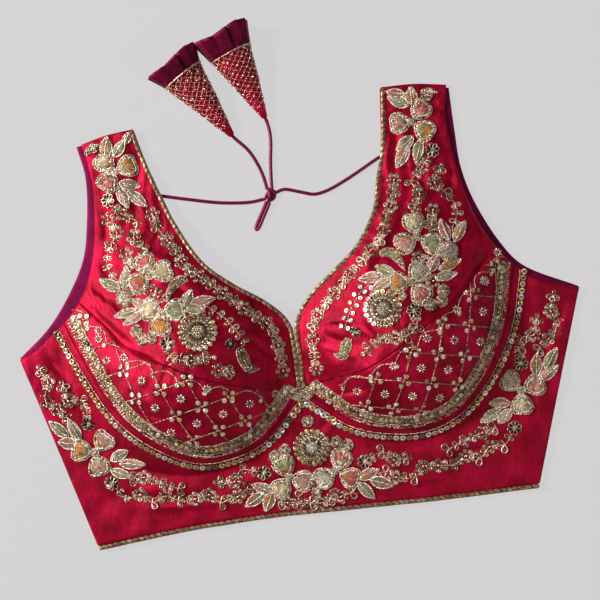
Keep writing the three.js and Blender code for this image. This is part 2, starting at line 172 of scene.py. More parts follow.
# %% Routes of the ties
CORD = 3
CORD_REST = CORD / 2 + 0.1
SEWN_IN = 25
TIE_ROUTES = {
    "dori_left": [(-104.6, 296.4), (-96, 294), (-74, 288), (-47, 281.5), (-22, 278.6),
                  (-10, 279.6)],
    "dori_right": [(1.4, 284), (8, 285.6), (22, 281.4), (33, 278), (44, 279.4), (63, 287),
                   (91, 301), (98.2, 304.4)],
    "dori_tail_a": [(-6.2, 287.2), (-7.4, 296), (-10.6, 308), (-17.5, 322.6), (-28.8, 336)],
    "dori_tail_b": [(-2.2, 287.2), (-1.6, 296), (0, 312), (2.2, 326), (2.6, 336), (0.8, 347.4)],
}
KNOT = {"x": -4.2, "y": 282.2}
LOOP = {"far": (-20, 254.5), "apart": 2.8}
LATKANS = {
    "a": {"tip": (-29.8, 337.4), "heading": 121.6, "cone": 66, "ruffle": 14.5},
    "b": {"tip": (0.2, 348.9), "heading": 110.4, "cone": 61.5, "ruffle": 19},
}

CONE_BASE = {"wide": 37, "high": 22}
CONE_TIP = 5


def heading(name):
    turn = math.radians(LATKANS[name]["heading"])
    return np.array([math.cos(turn), math.sin(turn), 0])


def cord_curve(name, route, steps, thickness=CORD):
    """A cord as a curve object, through points (x, y, z) in pattern millimetres."""
    line = to_frame(smooth_line(route, steps))
    data = bpy.data.curves.new(f"{name}_cord", "CURVE")
    data.dimensions = "3D"
    data.bevel_depth = thickness / 2 * MM
    data.bevel_resolution = 4
    data.use_fill_caps = True
    spline = data.splines.new("POLY")
    spline.points.add(len(line) - 1)
    spline.points.foreach_set("co", np.column_stack([line, np.ones(len(line))]).ravel())
    return placed(f"{name}_cord", data), line


def lying(points):
    return [(x, y, CORD_REST) for x, y in points]


def cord_facts(cord, line, far_end, with_pieces=(), exit_at=0):
    """Attaches a finished cord to the root and prints its length."""
    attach(cord, "root")
    float(line_length(line))
    print(cord.name, round(line_length(line) / MM), "mm")


ties = {}
for name in ("dori_left", "dori_right"):
    ties[name] = cord_curve(name, lying(TIE_ROUTES[name]), 48)
for key in LATKANS:
    name = f"dori_tail_{key}"
    route = lying(TIE_ROUTES[name])
    tip = np.array([*LATKANS[key]["tip"], CORD_REST + 1])
    inside = [tip + heading(key) * reach + (0, 0, 0.16 * reach) for reach in (6, SEWN_IN)]
    ties[name] = cord_curve(name, [*route, *inside], 56)

near = np.array([KNOT["x"] - 2.6, KNOT["y"] - 5.4])
far = np.array(LOOP["far"])
toward_far = (far - near) / np.linalg.norm(far - near)
sideways = np.array([-toward_far[1], toward_far[0]]) * LOOP["apart"] / 2
BIGHT = [(0, 1), (0.5, 1), (0.88, 0.98), (0.97, 0.62), (1, 0), (0.97, -0.62), (0.88, -0.98),
         (0.5, -1), (0, -1)]
bight = [near + (far - near) * share + sideways * way for share, way in BIGHT]
ties["dori_loop"] = cord_curve("dori_loop", lying(bight), 60)

# %% [markdown]
# ## The form that the cloth lies on
#
# The front is one rounded surface: a flat lay, two cups, a few low swells and soft folds. Every
# panel, braid, thread and sequin is placed on it, so it is written once, as a height over the
# table for any point (x, y). A height is easier to control than sculpting: a cup is a smooth
# bump whose reach and steepness change round the compass, and a fold is a ridge between two
# points. Small creases are added to the same sum, each placed one by one and no two alike.

# %% The lay and the cups
LAY = 4.8
CUP_HEIGHT = 44
CUP_TOP = {"left": (-98, 138), "right": (96, 142)}
SIDES = {"left": -1, "right": 1}
# Round the cup in steps of 45 degrees, from straight out over the shoulder to the hem.
CUP_REACH = [97, 134, 168, 126, 97, 94, 85, 88]
CUP_EASE = [1.3, 1.8, 2.4, 1.9, 1.5, 1.25, 1.15, 1.2]
# x, y, half width, half length, height
SWELLS = [(0, 150, 185, 115, 5), (-128, 286, 70, 62, 3.6), (122, 290, 70, 64, 3.6)]
# from x, from y, to x, to y, width, height
FOLDS = [
    (-160, 205, -118, 176, 9, 2.6),
    (172, 210, 128, 170, 9, 2.8),
    (-222, 164, -186, 120, 9, 2),
    (232, 160, 196, 128, 9, 2),
    (-165, 50, -60, 36, 8, 1.8),
    (60, 38, 168, 58, 8, 1.8),
]


def around_cup(angle, column):
    """A column's value at an angle in degrees, on a smooth closed curve."""
    column = np.array(column, float)
    place = (angle / 360 * len(column)) % len(column)
    at = np.floor(place).astype(int)
    t = place - at

    def value(k):
        return column[(at + k) % len(column)]

    def slope(k):
        return (value(k + 1) - value(k - 1)) / 2

    return (
        value(0) * (2 * t**3 - 3 * t**2 + 1) + slope(0) * (t**3 - 2 * t**2 + t)
        + value(1) * (3 * t**2 - 2 * t**3) + slope(1) * (t**3 - t**2)
    )


def cup_rise(x, y, side):
    out = (x - CUP_TOP[side][0]) * SIDES[side]
    up = y - CUP_TOP[side][1]
    angle = np.degrees(np.arctan2(up, out))
    share = np.hypot(out, up) / around_cup(angle, CUP_REACH)
    return CUP_HEIGHT * np.clip(1 - share**2, 0, 1) ** around_cup(angle, CUP_EASE)


def ridge(x, y, fold):
    """A soft ridge (or a trough, for a negative height) that fades at both ends."""
    x0, y0, x1, y1, width, height = fold
    length = math.hypot(x1 - x0, y1 - y0)
    along = ((x - x0) * (x1 - x0) + (y - y0) * (y1 - y0)) / length
    across = ((x - x0) * (y1 - y0) - (y - y0) * (x1 - x0)) / length
    fade = np.sin(np.pi * np.clip(along / length, 0, 1))
    return height * fade * np.exp(-((across / width) ** 2))


def plain_top(x, y):
    """Height of the front without its small creases."""
    top = LAY + sum(cup_rise(x, y, side) for side in SIDES)
    for sx, sy, wide, long, height in SWELLS:
        share = np.hypot((x - sx) / wide, (y - sy) / long)
        top = top + height * np.cos(np.clip(share, 0, 1) * np.pi / 2) ** 2
    return top + sum(ridge(x, y, fold) for fold in FOLDS)


# %% The small creases
# from x, from y, to x, to y, width, height: pulls at the armholes, wrinkles across the cups,
# slack along the band and in the side wings.
CREASES = [
    (178, 214, 118, 150, 3.2, -1.7), (176, 205, 140, 160, 2.6, 1.2), (160, 236, 132, 196, 4.5, -1.2),
    (-176, 214, -128, 160, 3.4, -1.6), (-168, 222, -140, 196, 3, 1.1), (-160, 246, -128, 214, 4.5, -1.1),
    (-60, 186, -22, 152, 5, 1.5), (-52, 176, -14, 140, 3.4, -1.2), (-84, 178, -44, 148, 4.2, 1.1),
    (28, 176, 70, 150, 4.4, 1.4), (20, 160, 54, 142, 3.2, -1.1), (44, 196, 84, 166, 5, 1.0),
    (30, 128, 8, 182, 4, 1.2), (14, 148, 10, 190, 2.6, -0.9),
    (-150, 120, -108, 104, 3.6, -1.0), (-120, 96, -70, 88, 4, 0.9), (-66, 112, -20, 108, 3.2, -0.8),
    (150, 132, 112, 112, 3.4, -1.0), (120, 92, 70, 92, 4.2, 0.8), (64, 110, 24, 106, 3.4, -0.9),
    (-186, 44, -96, 34, 4.2, -1.1), (-150, 30, -70, 26, 3.4, 0.8), (-60, 40, -6, 34, 3.6, -0.7),
    (84, 32, 176, 46, 4.2, -1.0), (60, 24, 130, 22, 3.2, 0.7), (14, 40, 66, 34, 3.4, -0.6),
    (-228, 160, -190, 96, 3.8, -1.2), (-216, 150, -186, 70, 3, 0.8), (-206, 110, -178, 60, 3.6, -0.8),
    (236, 160, 204, 104, 3.6, -1.2), (224, 142, 196, 70, 3, 0.8), (206, 120, 190, 50, 3.8, -0.8),
    (-110, 338, -122, 282, 4.2, -0.9), (-140, 330, -136, 260, 4, 0.8), (-146, 290, -150, 236, 3, -0.7),
    (112, 344, 104, 284, 4.2, -0.8), (142, 334, 132, 262, 4.4, 0.8), (152, 300, 148, 240, 3, -0.7),
    (-120, 250, -84, 226, 4, 0.9), (110, 256, 76, 224, 4, 0.9), (-104, 224, -70, 196, 3.4, -0.8),
    (96, 226, 62, 198, 3.4, -0.8), (-30, 98, 6, 70, 3, -0.7), (30, 92, -4, 66, 3, -0.6),
    (-170, 232, -158, 196, 2.2, 0.9), (-160, 226, -146, 190, 2, -0.9), (-152, 206, -134, 186, 2, 0.8),
    (-146, 176, -120, 160, 2, 0.8), (-140, 168, -112, 152, 2, -0.8), (-158, 184, -140, 160, 2, 0.7),
    (-232, 162, -214, 138, 2, 0.8), (-214, 172, -200, 150, 2, -0.8), (-204, 150, -196, 120, 2, 0.7),
    (168, 226, 156, 196, 2.2, 0.8), (150, 212, 134, 186, 2, -0.8), (144, 176, 118, 158, 2, 0.8),
    (30, 166, 62, 160, 2.2, -0.9), (24, 150, 48, 134, 2.2, 0.9), (56, 172, 66, 146, 2, 0.8),
    (-32, 166, -66, 158, 2.2, -0.9), (-26, 148, -52, 132, 2.2, 0.9), (-90, 172, -70, 160, 2, 0.8),
]


def slack(x, y):
    """Shallow unevenness that cloth has everywhere, as a few slow waves that never line up."""
    waves = (
        np.sin(x / 13.7 + 1.3 * np.sin(y / 17.1)) * np.sin(y / 11.9 + 0.7)
        + 0.7 * np.sin(x / 7.3 + y / 19.3 + 2.1) * np.sin(y / 8.1 - x / 23.0)
        + 0.5 * np.sin(x / 4.9 - y / 6.1) * np.sin(x / 15.1 + y / 9.7)
    )
    return 0.55 * waves


def crush(x, y):
    """Fine soft wrinkles of worn silk, stronger over the bust and straps than at the hem."""
    wrinkles = (np.sin(x / 2.7 + 1.8 * np.sin(y / 9.1) + y / 14)
                * np.sin(y / 4.8 - x / 6.3 + 1.2 * np.sin(x / 11)))
    patches = 0.6 + 0.4 * np.sin(x / 31 + 1) * np.sin(y / 27)
    return 0.68 * wrinkles * patches * np.clip((y - 60) / 60, 0.15, 1)


def silk_top(x, y):
    """Height of the front's upper side over the table, in millimetres."""
    creases = 2 * sum(ridge(x, y, crease) for crease in CREASES)
    return plain_top(x, y) + creases + slack(x, y) + crush(x, y)


def silk_normal(x, y, step=0.8):
    """The direction square to the front, pointing up, at points (x, y)."""
    down_x = (silk_top(x - step, y) - silk_top(x + step, y)) / (2 * step)
    down_y = (silk_top(x, y - step) - silk_top(x, y + step)) / (2 * step)
    return unit(np.stack([down_x, down_y, np.ones_like(down_x)], axis=-1))


def on_silk(x, y, lift=0.0):
    """Points at a height square to the front, in the frame's metres."""
    x, y = np.asarray(x, float), np.asarray(y, float)
    lift = np.broadcast_to(np.asarray(lift, float), x.shape)
    points = np.stack([x, y, silk_top(x, y)], axis=-1)
    return to_frame(points + silk_normal(x, y) * lift[..., None])


apex = silk_top(np.array([CUP_TOP["right"][0]]), np.array([CUP_TOP["right"][1]]))[0]
print("the cups stand", round(float(apex)), "mm off the table")

# %% [markdown]
# ## The pattern's lines
#
# Each line has a few marks for the two halves: they are cut alike, and lie a little differently.
# The same marks set the panels here and the solids in the frame, so the fine panels lie in
# exactly the space that the frame holds for them.

# %% Lines for the left and the right half: left x, left y, right x, right y
NECK_EDGE = [
    (-113, 354, 102, 361), (-106, 325, 94.5, 308), (-96, 293, 87, 283), (-86, 266, 80, 257),
    (-68, 233, 61, 229), (-46, 212, 39, 211), (-20, 193, 20, 196), (-6, 178.5, 6, 180),
    (-1.8, 169, 1.8, 170), (-0.7, 158, 0.7, 159), (-0.6, 136, 0.6, 136), (-0.6, 114, 0.6, 114),
]
ARM_EDGE = [
    (-159, 347, 158, 355.5), (-154, 313, 153.5, 328), (-157, 276, 155, 300),
    (-161, 254, 160, 268), (-168, 232, 169, 235), (-178.5, 213, 182.5, 208.5),
]
ARM_EDGE_BELOW = [
    (-194, 197, 194, 195), (-206, 189, 210, 182), (-220, 178, 228, 174), (-236, 171.5, 247.5, 168),
]
SHOULDER_EDGE = [(-113, 354, 102, 361), (-136, 352, 130, 360), (-159, 347, 158, 355.5)]
CROSS_SEAM = [
    (-4.7, 119, 4.7, 119), (-27, 120, 26, 121.5), (-77, 135, 58, 127), (-111, 152, 103, 150.5),
    (-140, 170, 140, 176), (-157, 190, 158, 194), (-178.5, 213, 182.5, 208.5),
]
KATORI_SEAM = [
    (-4.7, 109.5, 4.7, 109.5), (-42, 74, 42, 78), (-89, 64.5, 91, 66), (-128, 84, 124, 74),
    (-157, 114, 150, 96), (-178, 156, 178, 140), (-194, 197, 194, 195),
]
BACK_NECK = [
    (-117, 351, 106, 358), (-110, 310, 100, 308), (-101, 272, 92, 262), (-88, 205, 84, 205),
    (-76, 160, 74, 160), (-45, 113, 45, 113), (0, 97, 0, 97),
]
BACK_ARM = [
    (-163.5, 345.5, 160, 353), (-159.5, 319, 160, 315), (-163.5, 280, 161, 285),
    (-171.5, 248, 168, 255), (-193.2, 212.4, 186, 215), (-211, 192.2, 202, 194), (-236, 172.5, 247.5, 169),
]
SIDE_SEAM = [(-236, 171.5, 247.5, 168), (-191, 0, 190.5, 2)]
HEM_EDGE = [(-191, 0, 190.5, 2), (-120, 5.5, 105, 3), (-50, 7.5, 40, 5), (0, 6.5, 0, 6.5)]
PIPING_WIDTH = 4


def half(table, side):
    at = 0 if side == "left" else 2
    return [row[at:at + 2] for row in table]


def pattern_line(table, side, steps):
    return smooth_line(half(table, side), steps)


def offset_line(line, distance):
    """The line moved sideways, to its left for a positive distance."""
    run = unit(np.gradient(line, axis=0))
    return line + distance * np.column_stack([-run[:, 1], run[:, 0]])


def joined(left, right):
    """One line from the left half's start over the middle to the right half's start."""
    return np.vstack([left, right[:-1][::-1]])


# %% [markdown]
# ## From pattern lines to panels
#
# A panel is a grid of points between its edges, lifted to the form. A ruled grid joins two
# lines, and a Coons patch fills four. Each panel is then closed with an under side and edges,
# because cut cloth has a thickness, and its rim is rolled down a little, as a seam or a turned
# edge pulls it. The flat pattern sizes go into the UV map, so weave and grain follow the cloth.


# %% Grids and walls of cloth
def ruled(line_a, line_b, shares):
    """Rows between two lines. shares are each row's place from 0 to 1."""
    shares = np.asarray(shares, float)[:, None, None]
    return line_a[None] * (1 - shares) + line_b[None] * shares


def coons(first, last, start, end):
    """A four-sided patch: first and last are its end rows, start and end its end columns."""
    u = np.linspace(0, 1, len(first))[None, :, None]
    v = np.linspace(0, 1, len(start))[:, None, None]
    across = start[:, None] * (1 - u) + end[:, None] * u
    down = first[None] * (1 - v) + last[None] * v
    corners = ((first[0] * (1 - u) + first[-1] * u) * (1 - v)
               + (last[0] * (1 - u) + last[-1] * u) * v)
    return across + down - corners


def rim_shares(steps, rim=0.02):
    """Even shares from 0 to 1 with two close rows added at each end for a rolled rim."""
    inner = np.linspace(rim, 1 - rim, steps)
    return np.concatenate([[0, rim * 0.35], inner, [1 - rim * 0.35, 1]])


def grid_object(name, grid, upper, lower, uv=None):
    """A closed wall of cloth: grid is (rows, columns, 2), upper and lower its heights."""
    rows, columns = grid.shape[:2]
    count = rows * columns
    top = np.dstack([grid, upper]).reshape(-1, 3)
    base = np.dstack([grid, lower]).reshape(-1, 3)
    at = np.arange(count).reshape(rows, columns)
    a, b, c, d = at[:-1, :-1], at[:-1, 1:], at[1:, 1:], at[1:, :-1]
    sheet = np.stack([a, b, c, d], -1).reshape(-1, 4)
    under = sheet[:, ::-1] + count
    rim = np.concatenate([at[0, :], at[1:, -1], at[-1, -2::-1], at[-2:0:-1, 0]])
    following = np.roll(rim, -1)
    walls = np.stack([following, rim, rim + count, following + count], -1)
    faces = np.vstack([sheet, under, walls])
    run, side = grid[0, 1] - grid[0, 0], grid[1, 0] - grid[0, 0]
    if run[0] * side[1] - run[1] * side[0] < 0:
        faces = faces[:, ::-1]
    data = bpy.data.meshes.new(name)
    data.from_pydata(to_frame(np.vstack([top, base])).tolist(), [], faces.tolist())
    flat = grid.reshape(-1, 2) if uv is None else uv.reshape(-1, 2)
    flat = np.vstack([flat, flat]) * MM
    layer = data.uv_layers.new(name="cut")
    corner_points = np.zeros(len(data.loops), int)
    data.loops.foreach_get("vertex_index", corner_points)
    layer.data.foreach_set("uv", flat[corner_points].ravel())
    data.shade_smooth()
    return placed(name, data)


def rim_distance(grid):
    """How far each point of a grid is from the grid's rim, in millimetres."""
    rim = np.vstack([grid[0], grid[-1], grid[:, 0], grid[:, -1]])
    points = grid.reshape(-1, 2)
    nearest = [np.min(np.hypot(*(rim - point).T)) for point in points]
    return np.array(nearest).reshape(grid.shape[:2])


def front_panel(name, grid, thickness, roll=0.7, roll_width=1.6):
    """A panel of the front, its rim rolled down by roll within roll_width."""
    x, y = grid[..., 0], grid[..., 1]
    top = silk_top(x, y)
    near_rim = np.clip(1 - rim_distance(grid) / roll_width, 0, 1)
    steep = 1 / silk_normal(x, y)[..., 2]
    upper = top - roll * near_rim**2
    return grid_object(name, grid, upper, top - thickness * steep)


# %% The panels of the front
FRONT_CLOTH, KATORI_CLOTH = 1.6, 2.6
panels = {}
for side, way in SIDES.items():
    neck = offset_line(pattern_line(NECK_EDGE, side, 150), way * (PIPING_WIDTH - 1.1))
    arm = pattern_line(ARM_EDGE, side, 150)
    shoulder = pattern_line(SHOULDER_EDGE, side, 72)
    cross = pattern_line(CROSS_SEAM, side, 72)
    neck[0] = shoulder[0] + (shoulder[-1] - shoulder[0]) * PIPING_WIDTH / 50
    neck[-1] = cross[0]
    shoulder[0] = neck[0]
    grid = coons(shoulder, cross, neck, arm)
    panels[f"front_upper_{side}"] = front_panel(f"silk_upper_{side}", grid, FRONT_CLOTH)

    cross = pattern_line(CROSS_SEAM, side, 140)
    seam = pattern_line(KATORI_SEAM, side, 140)
    grid = ruled(cross, seam, rim_shares(48))
    panels[f"katori_{side}"] = front_panel(f"silk_katori_{side}", grid, KATORI_CLOTH)

halves = {}
for side, way in SIDES.items():
    wing = pattern_line(ARM_EDGE_BELOW, side, 26)[::-1]
    seam = pattern_line(KATORI_SEAM, side, 120)[::-1]
    top = np.vstack([wing, seam[1:], [(0, 112.8)]])
    out = np.concatenate([np.linspace(190.8, 183, 27), np.linspace(183, 4, 121)[1:], [0]])
    hem = pattern_line(HEM_EDGE, side, 200)
    order = np.argsort(hem[:, 0])
    height = np.interp(out * way, hem[order, 0], hem[order, 1]) + PIPING_WIDTH
    halves[side] = (top, np.column_stack([out * way, height]))
band_grid = ruled(
    joined(halves["left"][0], halves["right"][0]),
    joined(halves["left"][1], halves["right"][1]),
    rim_shares(56),
)
panels["front_band"] = front_panel("silk_band", band_grid, FRONT_CLOTH)
for node, panel in panels.items():
    print(panel.name, len(panel.data.polygons), "faces, for", node)

# %% The back and its lining
BACK_CLOTH, LINING_CLOTH, SEAM_GAP = 1.5, 1.0, 0.3
halves = {}
for side in SIDES:
    hem = pattern_line(HEM_EDGE, side, 60) + (0, PIPING_WIDTH)
    outer = np.vstack([
        pattern_line(BACK_ARM, side, 80), pattern_line(SIDE_SEAM, side, 40)[1:-1], hem,
    ])
    halves[side] = (outer, pattern_line(BACK_NECK, side, len(outer) - 1))
back_grid = ruled(
    joined(halves["left"][0], halves["right"][0]),
    joined(halves["left"][1], halves["right"][1]),
    rim_shares(24),
)


def flat_panel(name, grid, base, thickness, roll=0.5, roll_width=1.4):
    """A panel that lies flat, its upper rim rolled down."""
    near_rim = np.clip(1 - rim_distance(grid) / roll_width, 0, 1)
    upper = base + thickness - roll * near_rim**2
    return grid_object(name, grid, upper, np.full(upper.shape, float(base)))


panels["back_panel"] = flat_panel("silk_back", back_grid, 0, BACK_CLOTH)
LINING_WIDTH = 16
for side, way in SIDES.items():
    edge = pattern_line(BACK_ARM, side, 110)
    grid = ruled(edge, offset_line(edge, -way * LINING_WIDTH), rim_shares(10, 0.06))
    panels[f"armhole_lining_{side}"] = flat_panel(
        f"lining_{side}", grid, BACK_CLOTH + SEAM_GAP, LINING_CLOTH)
print("back and lining made")


# %% [markdown]
# ## Beads, sequins and metal thread
#
# Zardozi is sewn with a hook: coiled metal thread, beads, rings of coil and sequins, thousands of
# small things of a few shapes. Each shape is one small mesh with a few dozen faces. A Geometry
# Nodes tree puts it on every point of a list, turned to lie on the cloth, with a little tilt that
# is never the same, because hand-sewn metal glints unevenly. The tree is built once and serves
# every list. Real geometry is used rather than a picture of it, so that it catches light from
# any side.

# %% The small shapes, one unit long
def lathe_mesh(name, profile, sides, closed):
    """Turns a profile of (along X, radius) round the X axis; closed ends in poles."""
    ring = 2 * np.pi * np.arange(sides) / sides
    points = []
    for along, radius in profile:
        points += [(along, radius * math.cos(a), radius * math.sin(a)) for a in ring]
    faces = []
    rows = len(profile)
    for row in range(rows if closed else rows - 1):
        below, above = row * sides, (row + 1) % rows * sides
        for i in range(sides):
            j = (i + 1) % sides
            faces.append((below + i, above + i, above + j, below + j))
    return named_mesh(name, points, faces)


def named_mesh(name, points, faces):
    """A mesh with doubled points merged, its faces outwards and smooth."""
    data = bpy.data.meshes.new(name)
    data.from_pydata([tuple(p) for p in points], [], [tuple(f) for f in faces])
    shape = bmesh.new()
    shape.from_mesh(data)
    bmesh.ops.remove_doubles(shape, verts=shape.verts, dist=1e-6)
    bmesh.ops.recalc_face_normals(shape, faces=shape.faces)
    shape.to_mesh(data)
    shape.free()
    data.shade_smooth()
    return data


def ring_mesh(name, outline, thick, sides=4):
    """A closed loop of wire round an outline in the plane of X and Y."""
    outline = np.array(outline)
    run = unit(np.roll(outline, -1, axis=0) - np.roll(outline, 1, axis=0))
    out = np.column_stack([run[:, 1], -run[:, 0]])
    points, faces, count = [], [], len(outline)
    for place, way in zip(outline, out):
        for k in range(sides):
            turn = 2 * math.pi * k / sides
            x, y = place + way * math.cos(turn) * thick
            points.append((x, y, math.sin(turn) * thick))
    for i in range(count):
        for k in range(sides):
            a, b = i * sides, (i + 1) % count * sides
            faces.append((a + k, b + k, b + (k + 1) % sides, a + (k + 1) % sides))
    return named_mesh(name, points, faces)


circle = [(0.36 * math.cos(a), 0.36 * math.sin(a)) for a in np.arange(9) * 2 * math.pi / 9]
drop_turns = np.arange(11) * 2 * math.pi / 11
drop = [(0.5 - 0.5 * math.cos(a), 0.34 * math.sin(a) * math.sin(a / 2) ** 1.1) for a in drop_turns]
small_shapes = {
    "bead": lathe_mesh("bead", [(-0.5, 0), (-0.27, 0.42), (0.27, 0.42), (0.5, 0)], 6, False),
    "ring": ring_mesh("ring", circle, 0.125),
    "loop": ring_mesh("loop", drop, 0.08),
    "sequin": lathe_mesh(
        "sequin", [(0.02, 0.1), (0.05, 0.32), (0.11, 0.5), (0.05, 0.5), (-0.02, 0.1)], 10, True),
}
turn_flat = Matrix.Rotation(math.radians(-90), 4, "Y")
small_shapes["sequin"].transform(turn_flat)
for kind, data in small_shapes.items():
    print(kind, len(data.polygons), "faces")

# %% The list of what is sewn on
hand = np.random.default_rng(11)
sewn = {kind: [] for kind in small_shapes}


def sew(kind, x, y, angle=0.0, lift=0.4, long=1.0, wide=1.0, high=1.0, tint=0.5, pitch=0.0):
    """Adds small shapes at (x, y); angle and pitch are degrees, the sizes millimetres."""
    row = np.broadcast_arrays(*[np.asarray(v, float) for v in
                                (x, y, angle, lift, long, wide, high, tint, pitch)])
    sewn[kind].append(np.stack([v.ravel() for v in row], axis=-1))


def euler_angles(frames):
    """XYZ Euler angles of many rotation matrices."""
    return np.stack([
        np.arctan2(frames[:, 2, 1], frames[:, 2, 2]),
        np.arcsin(np.clip(-frames[:, 2, 0], -1, 1)),
        np.arctan2(frames[:, 1, 0], frames[:, 0, 0]),
    ], axis=-1)


def lying_frames(normal, angle, pitch):
    """Frames whose X runs at the angle along the surface and whose Z is its normal."""
    way = np.stack([np.cos(angle), np.sin(angle), np.zeros_like(angle)], axis=-1)
    run = unit(way - normal * (way * normal).sum(-1, keepdims=True))
    side = np.cross(normal, run)
    tipped = run * np.cos(pitch)[:, None] + normal * np.sin(pitch)[:, None]
    return np.stack([tipped, side, np.cross(tipped, side)], axis=-1)


# %% The node tree that sews
def input_socket(tree, name, kind, value=None):
    socket = tree.interface.new_socket(name, in_out="INPUT", socket_type=kind)
    if value is not None:
        socket.default_value = value
    return socket


def sewing_tree():
    tree = bpy.data.node_groups.new("sew on", "GeometryNodeTree")
    tree.is_modifier = True
    input_socket(tree, "Geometry", "NodeSocketGeometry")
    input_socket(tree, "Shape", "NodeSocketObject")
    input_socket(tree, "Finish", "NodeSocketMaterial")
    input_socket(tree, "Swell", "NodeSocketFloat", 1.0)
    input_socket(tree, "Tilt", "NodeSocketFloat", 0.15)
    input_socket(tree, "Seed", "NodeSocketInt", 1)
    tree.interface.new_socket("Geometry", in_out="OUTPUT", socket_type="NodeSocketGeometry")
    link = tree.links.new

    def node(kind, **settings):
        made = tree.nodes.new(kind)
        for key, value in settings.items():
            setattr(made, key, value)
        return made

    def named(name, kind):
        made = node("GeometryNodeInputNamedAttribute", data_type=kind)
        made.inputs["Name"].default_value = name
        return made.outputs["Attribute"]

    asked = node("NodeGroupInput").outputs
    shape = node("GeometryNodeObjectInfo")
    link(asked["Shape"], shape.inputs["Object"])
    turn = node("FunctionNodeEulerToRotation")
    link(named("turn", "FLOAT_VECTOR"), turn.inputs[0])
    tilt = node("FunctionNodeRandomValue", data_type="FLOAT_VECTOR")
    low = node("ShaderNodeVectorMath", operation="SCALE")
    low.inputs[0].default_value = (-1, -1, -1)
    high = node("ShaderNodeVectorMath", operation="SCALE")
    high.inputs[0].default_value = (1, 1, 1)
    for end, socket in ((low, "Min"), (high, "Max")):
        link(asked["Tilt"], end.inputs["Scale"])
        link(end.outputs[0], tilt.inputs[socket])
    link(asked["Seed"], tilt.inputs["Seed"])
    tilt_turn = node("FunctionNodeEulerToRotation")
    link(tilt.outputs["Value"], tilt_turn.inputs[0])
    both = node("FunctionNodeRotateRotation", rotation_space="LOCAL")
    link(turn.outputs[0], both.inputs[0])
    link(tilt_turn.outputs[0], both.inputs[1])
    size = node("ShaderNodeVectorMath", operation="SCALE")
    link(named("size", "FLOAT_VECTOR"), size.inputs[0])
    link(asked["Swell"], size.inputs["Scale"])
    place = node("GeometryNodeInstanceOnPoints")
    link(asked["Geometry"], place.inputs["Points"])
    link(shape.outputs["Geometry"], place.inputs["Instance"])
    link(both.outputs[0], place.inputs["Rotation"])
    link(size.outputs[0], place.inputs["Scale"])
    glint = node("FunctionNodeRandomValue", data_type="FLOAT")
    link(asked["Seed"], glint.inputs["Seed"])
    store = node("GeometryNodeStoreNamedAttribute", data_type="FLOAT", domain="INSTANCE")
    store.inputs["Name"].default_value = "glint"
    link(place.outputs[0], store.inputs["Geometry"])
    link(next(o for o in glint.outputs if o.enabled), store.inputs["Value"])
    real = node("GeometryNodeRealizeInstances")
    link(store.outputs[0], real.inputs[0])
    finish = node("GeometryNodeSetMaterial")
    link(real.outputs[0], finish.inputs["Geometry"])
    link(asked["Finish"], finish.inputs["Material"])
    link(finish.outputs[0], node("NodeGroupOutput").inputs[0])
    return tree


sew_on = sewing_tree()


def made_plain(piece):
    """The piece's modifiers turned into a plain mesh."""
    shown = piece.evaluated_get(bpy.context.evaluated_depsgraph_get())
    data = bpy.data.meshes.new_from_object(shown)
    piece.modifiers.clear()
    old = piece.data
    piece.data = data
    bpy.data.meshes.remove(old)
    return piece


def sewn_piece(name, shape, places, turns, sizes, tints, finish, tilt, seed):
    """One mesh of all copies of a small shape. Places and sizes are metres."""
    data = bpy.data.meshes.new(name)
    data.vertices.add(len(places))
    data.vertices.foreach_set("co", places.ravel())
    for key, kind, values in (("turn", "FLOAT_VECTOR", turns), ("size", "FLOAT_VECTOR", sizes)):
        data.attributes.new(key, kind, "POINT").data.foreach_set("vector", values.ravel())
    data.attributes.new("tint", "FLOAT", "POINT").data.foreach_set("value", tints)
    piece = placed(name, data)
    sample = bpy.data.objects.new("sample", shape)
    modifier = piece.modifiers.new("sew", "NODES")
    modifier.node_group = sew_on
    asked = {"Shape": sample, "Finish": finish, "Tilt": tilt, "Seed": seed}
    for item in sew_on.interface.items_tree:
        if item.item_type == "SOCKET" and item.name in asked:
            modifier[item.identifier] = asked[item.name]
    made_plain(piece)
    bpy.data.objects.remove(sample)
    for key in ("turn", "size"):
        if key in piece.data.attributes:
            piece.data.attributes.remove(piece.data.attributes[key])
    piece.data.shade_smooth()
    return piece

# %% [markdown]
# ## Finishes
#
# Raw silk is never one red: the thread has thick and thin places (slubs), the weave shines along
# one direction, and wear and folds leave it mottled. Metal thread is dull where it is old and
# nearly white where it catches light. Each finish below is a small graph of nodes. Writing
# shader maths with + and * in Python reads better than wiring nodes one by one, so a small class
# wraps a socket and adds the Math nodes itself.

# %% Shader maths in Python
class Field:
    """A shader socket that can be added, multiplied and mixed."""

    def __init__(self, finish, socket):
        self.finish, self.socket = finish, socket

    def math(self, operation, *others):
        return self.finish.node("ShaderNodeMath", {"operation": operation}, [self, *others])

    def __add__(self, other):
        return self.math("ADD", other)

    def __mul__(self, other):
        return self.math("MULTIPLY", other)

    def __sub__(self, other):
        return self.math("SUBTRACT", other)

    def __rsub__(self, other):
        return self.finish.node("ShaderNodeMath", {"operation": "SUBTRACT"}, [other, self])

    __radd__, __rmul__ = __add__, __mul__

    def clamped(self):
        return self.finish.node("ShaderNodeClamp", {}, [self])


